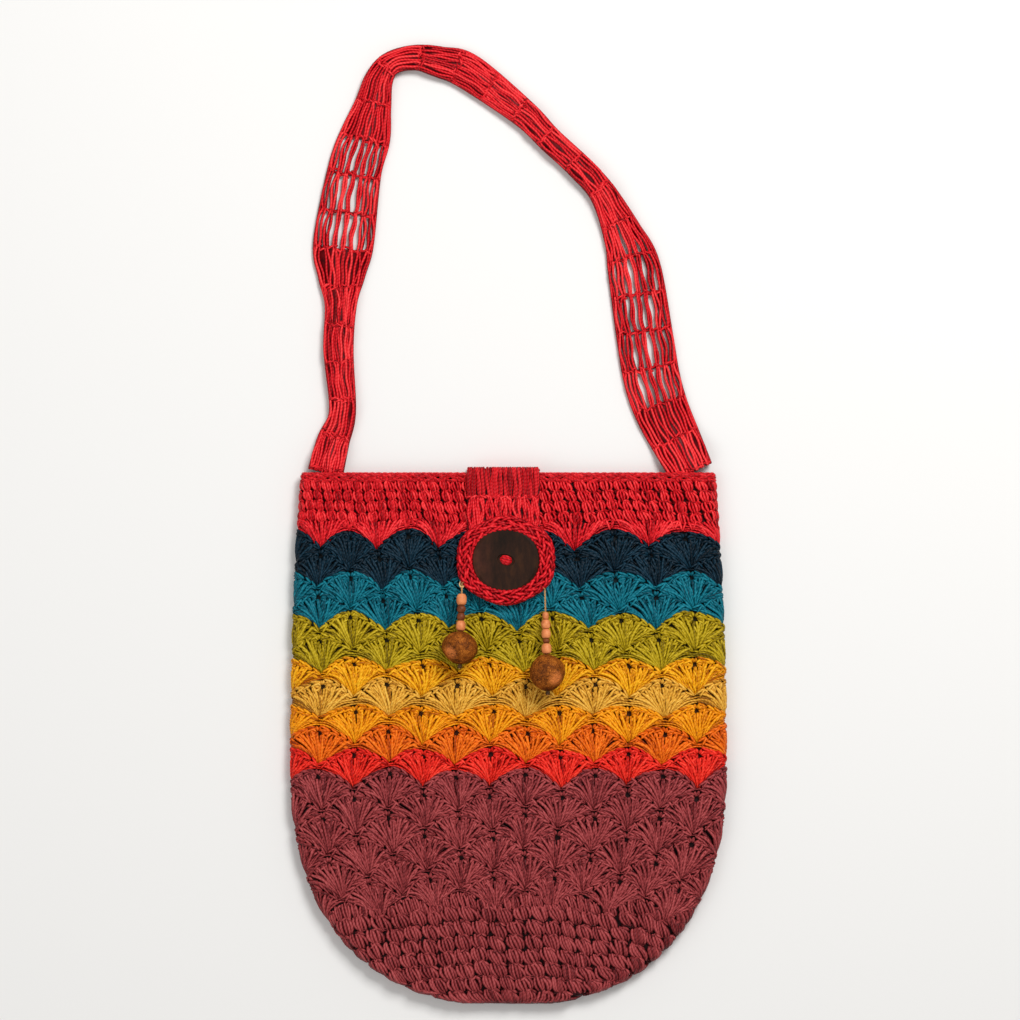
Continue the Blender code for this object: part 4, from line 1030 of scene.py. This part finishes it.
class Look:
    """A material as it is wired up. Its patterns go by the object's own coordinates."""

    def __init__(self, name, roughness, specular):
        self.material, self.shader = plain_material(name, roughness, specular)
        self.tree = self.material.node_tree
        self.place = self.node("ShaderNodeTexCoord").outputs["Object"]

    def node(self, kind, **values):
        made = self.tree.nodes.new(kind)
        for key, value in values.items():
            if key in made.inputs.keys():
                made.inputs[key].default_value = value
            else:
                setattr(made, key, value)
        return made

    def link(self, source, target):
        self.tree.links.new(source, target)

    def set(self, key, source):
        self.link(source, self.shader.inputs[key])

    def maths(self, operation, a, b=None, c=None, clamped=False):
        made = self.node("ShaderNodeMath", operation=operation, use_clamp=clamped)
        for index, value in enumerate((a, b, c)):
            if isinstance(value, (int, float)):
                made.inputs[index].default_value = value
            elif value is not None:
                self.link(value, made.inputs[index])
        return made.outputs[0]

    def times(self, a, b):
        return self.maths("MULTIPLY", a, b)

    def mixed(self, a, by, plus, clamped=False):
        return self.maths("MULTIPLY_ADD", a, by, plus, clamped)

    def noise(self, scale, detail, at=None, **values):
        made = self.node("ShaderNodeTexNoise", Scale=scale, Detail=detail, **values)
        self.link(at or self.place, made.inputs["Vector"])
        return made.outputs["Fac"]

    def parts(self, vector):
        made = self.node("ShaderNodeSeparateXYZ")
        self.link(vector, made.inputs[0])
        return made.outputs

    def ramp(self, factor, stops):
        made = self.node("ShaderNodeValToRGB")
        elements = made.color_ramp.elements
        while len(elements) < len(stops):
            elements.new(0.5)
        for element, (position, colour) in zip(elements, stops):
            element.position = position
            element.color = (*srgb(colour), 1.0)
        self.link(factor, made.inputs["Fac"])
        return made.outputs["Color"]

    def blend(self, under, over, factor):
        """The surface's colour: a plain colour over another by a factor."""
        mix = self.node("ShaderNodeMix", data_type="RGBA")
        self.link(factor, mix.inputs["Factor"])
        self.link(under, mix.inputs[6])
        mix.inputs[7].default_value = (*srgb(over), 1.0)
        self.set("Base Color", mix.outputs[2])

    def bump(self, height, strength, distance):
        made = self.node("ShaderNodeBump", Strength=strength, Distance=distance)
        self.link(height, made.inputs["Height"])
        self.set("Normal", made.outputs["Normal"])


def yarn_material(name, shades, ply=2.1):
    """Two-ply cotton: plies twisted round each strand, fine fibres, a tone and painted shade for each strand, and a
    dark back of painted shade.
    """
    look = Look(name, 0.5, 0.16)
    strand = look.parts(look.node("ShaderNodeAttribute", attribute_name="strand").outputs["Vector"])
    value = look.node("ShaderNodeAttribute", attribute_name="tint").outputs["Fac"]
    angle = look.maths("ARCTAN2", strand["Y"], strand["X"])
    # The plies' grooves are painted darker as shade, as well as bumped.
    plies = look.maths("ABSOLUTE", look.maths("SINE", look.mixed(strand["Z"], PI / ply, angle)))
    fine, broad = look.noise(2600.0, 2.0), look.noise(90.0, 2.0)
    # Painted light: each strand is lighter where its round faces over it and darker at its sides.
    painted_facing_light = look.maths("ABSOLUTE", strand["Y"])
    for part, amount in ((plies, 0.12), (painted_facing_light, 0.34), (fine, 0.24), (broad, 0.16)):
        value = look.mixed(part, amount, value)
    # The darkest stop is painted shade, for the sheets behind the strands and the deepest strands.
    painted_deep_shade = tuple(0.40 * c for c in shades[0])
    stops = ((0.05, painted_deep_shade), (0.34, shades[0]), (0.60, shades[1]), (0.95, shades[2]))
    look.set("Base Color", look.ramp(look.maths("SUBTRACT", value, 0.50), stops))
    look.bump(look.mixed(fine, 0.35, plies), 0.55, 0.0003)
    return look.material


def wood_look(name, shades, roughness, bump_by, grain=(1.0, 1.0, 1.0), specular=0.25):
    """Polished wood, with its colour. grain stretches the pattern on X, Y and Z."""
    look = Look(name, roughness, specular)
    mapping = look.node("ShaderNodeMapping", Scale=grain)
    look.link(look.place, mapping.inputs["Vector"])
    streaks = look.noise(420.0, 6.0, mapping.outputs["Vector"], Roughness=0.65)
    value = look.mixed(look.noise(60.0, 2.0), 0.6, look.times(streaks, 0.7))
    stops = zip((0.25, 0.5, 0.8), shades)
    colour = look.ramp(look.maths("SUBTRACT", value, 0.15), tuple(stops))
    look.set("Base Color", colour)
    look.bump(streaks, 0.35, bump_by)
    look.set("Roughness", look.mixed(streaks, 0.2, roughness - 0.1))
    return look, colour


def button_material():
    """Dark stained wood, a little redder towards its left side."""
    look, colour = wood_look("button_dark_wood", BUTTON_SHADES, 0.6, 0.00005, (1.0, 0.35, 0.5), 0.12)
    side = look.mixed(look.parts(look.place)["X"], -1 / 0.012, -0.7, clamped=True)
    patch = look.times(side, look.mixed(look.noise(140.0, 4.0), 2.4, -0.8, clamped=True))
    look.blend(colour, BUTTON_RED, look.times(patch, 0.7))
    return look.material


def seed_material(name, scar_at):
    """A dried seed: mottled browns, fine fibrous cracks and a pale orange scar."""
    look = Look(name, 0.6, 0.1)
    mottle = look.noise(620.0, 8.0, Roughness=0.8, Distortion=1.2)
    value = look.mixed(look.noise(120.0, 3.0), 0.6, look.times(mottle, 1.2))
    away = look.node("ShaderNodeVectorMath", operation="DISTANCE")
    look.link(look.place, away.inputs[0])
    away.inputs[1].default_value = scar_at
    near = look.mixed(away.outputs["Value"], -1 / 0.0030, 1.75, clamped=True)
    scar = look.times(near, look.mixed(mottle, 6.0, -2.2, clamped=True))
    look.blend(look.ramp(look.maths("SUBTRACT", value, 0.40), SEED_STOPS), SCAR_SHADE, look.times(scar, 0.9))
    look.bump(mottle, 0.8, 0.0005)
    return look.material


# The studio.

MM_PER_PIXEL, IMAGE = 0.588, 1020
VIEW_CENTRE, AIM_Z = (0.9, 7.9), 12.0
LENS, SENSOR, CLIP_END = 120.0, 36.0, 20
FLOOR_SIZE, FLOOR_Z = 4.0, -0.0003
LIGHTS_AIM = Vector((0.0, -0.02, 0.0))


def add_camera():
    data = bpy.data.cameras.new("camera")
    data.lens, data.sensor_width, data.clip_end = LENS, SENSOR, CLIP_END
    camera = add_object("camera", data)
    away = IMAGE * MM_PER_PIXEL * LENS / SENSOR
    camera.location = np.array((*VIEW_CENTRE, AIM_Z + away)) * MM
    bpy.context.scene.camera = camera


def add_light(name, location, size, power):
    data = bpy.data.lights.new(name, "AREA")
    data.size, data.energy = size, power
    lamp = add_object(name, data)
    lamp.location = location
    lamp.rotation_euler = (Vector(location) - LIGHTS_AIM).to_track_quat("Z", "Y").to_euler()


def add_studio():
    """The pale floor, the pale world and two soft lamps."""
    mesh = bpy.data.meshes.new("floor")
    corners = [(x * FLOOR_SIZE, y * FLOOR_SIZE, 0) for x, y in ((-1, -1), (1, -1), (1, 1), (-1, 1))]
    mesh.from_pydata(corners, [], [(0, 1, 2, 3)])
    material, shader = plain_material("pale_floor", 0.9)
    shader.inputs["Base Color"].default_value = (0.80, 0.79, 0.77, 1.0)
    mesh.materials.append(material)
    floor = add_object("floor", mesh)
    floor.location.z = FLOOR_Z
    world = bpy.data.worlds.new("studio")
    world.use_nodes = True
    background = world.node_tree.nodes["Background"]
    background.inputs["Color"].default_value = (1.0, 1.0, 1.0, 1.0)
    background.inputs["Strength"].default_value = 0.40
    bpy.context.scene.world = world
    add_light("key", (0.6, 1.0, 1.5), 0.7, 30.0)
    add_light("fill", (-1.1, -0.4, 1.6), 1.4, 9.0)


def main():
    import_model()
    bpy.context.scene.view_settings.view_transform = "Standard"
    add_camera()
    red = yarn_material("red_two_ply", RED_SHADES)
    looks = {
        "tan_cord": yarn_material("tan_waxed_cord", TAN_SHADES, ply=0.9),
        "peach_bead": wood_look("peach_wood", PEACH_SHADES, 0.45, 0.00006)[0].material,
        "brown_bead": wood_look("brown_wood", BROWN_SHADES, 0.5, 0.00008)[0].material,
    }
    for charm in CHARMS:
        make_charm(*charm, looks)
    bands = fan_rows()
    make_red_band(red, bands[0][0])
    for index, (name, _, _, shades) in enumerate(BANDS):
        look = yarn_material(f"{name}_two_ply", shades)
        if index + 1 < len(BANDS):
            make_band(name, look, bands[index], bands[index + 1][0])
        else:
            make_plum(look, bands[index])
    make_strap(red)
    make_loop(red)
    make_tab(red)
    make_button_stitch(red)
    button = bpy.data.objects["wooden_button"]
    button.data.materials.clear()
    button.data.materials.append(button_material())
    add_studio()


main()
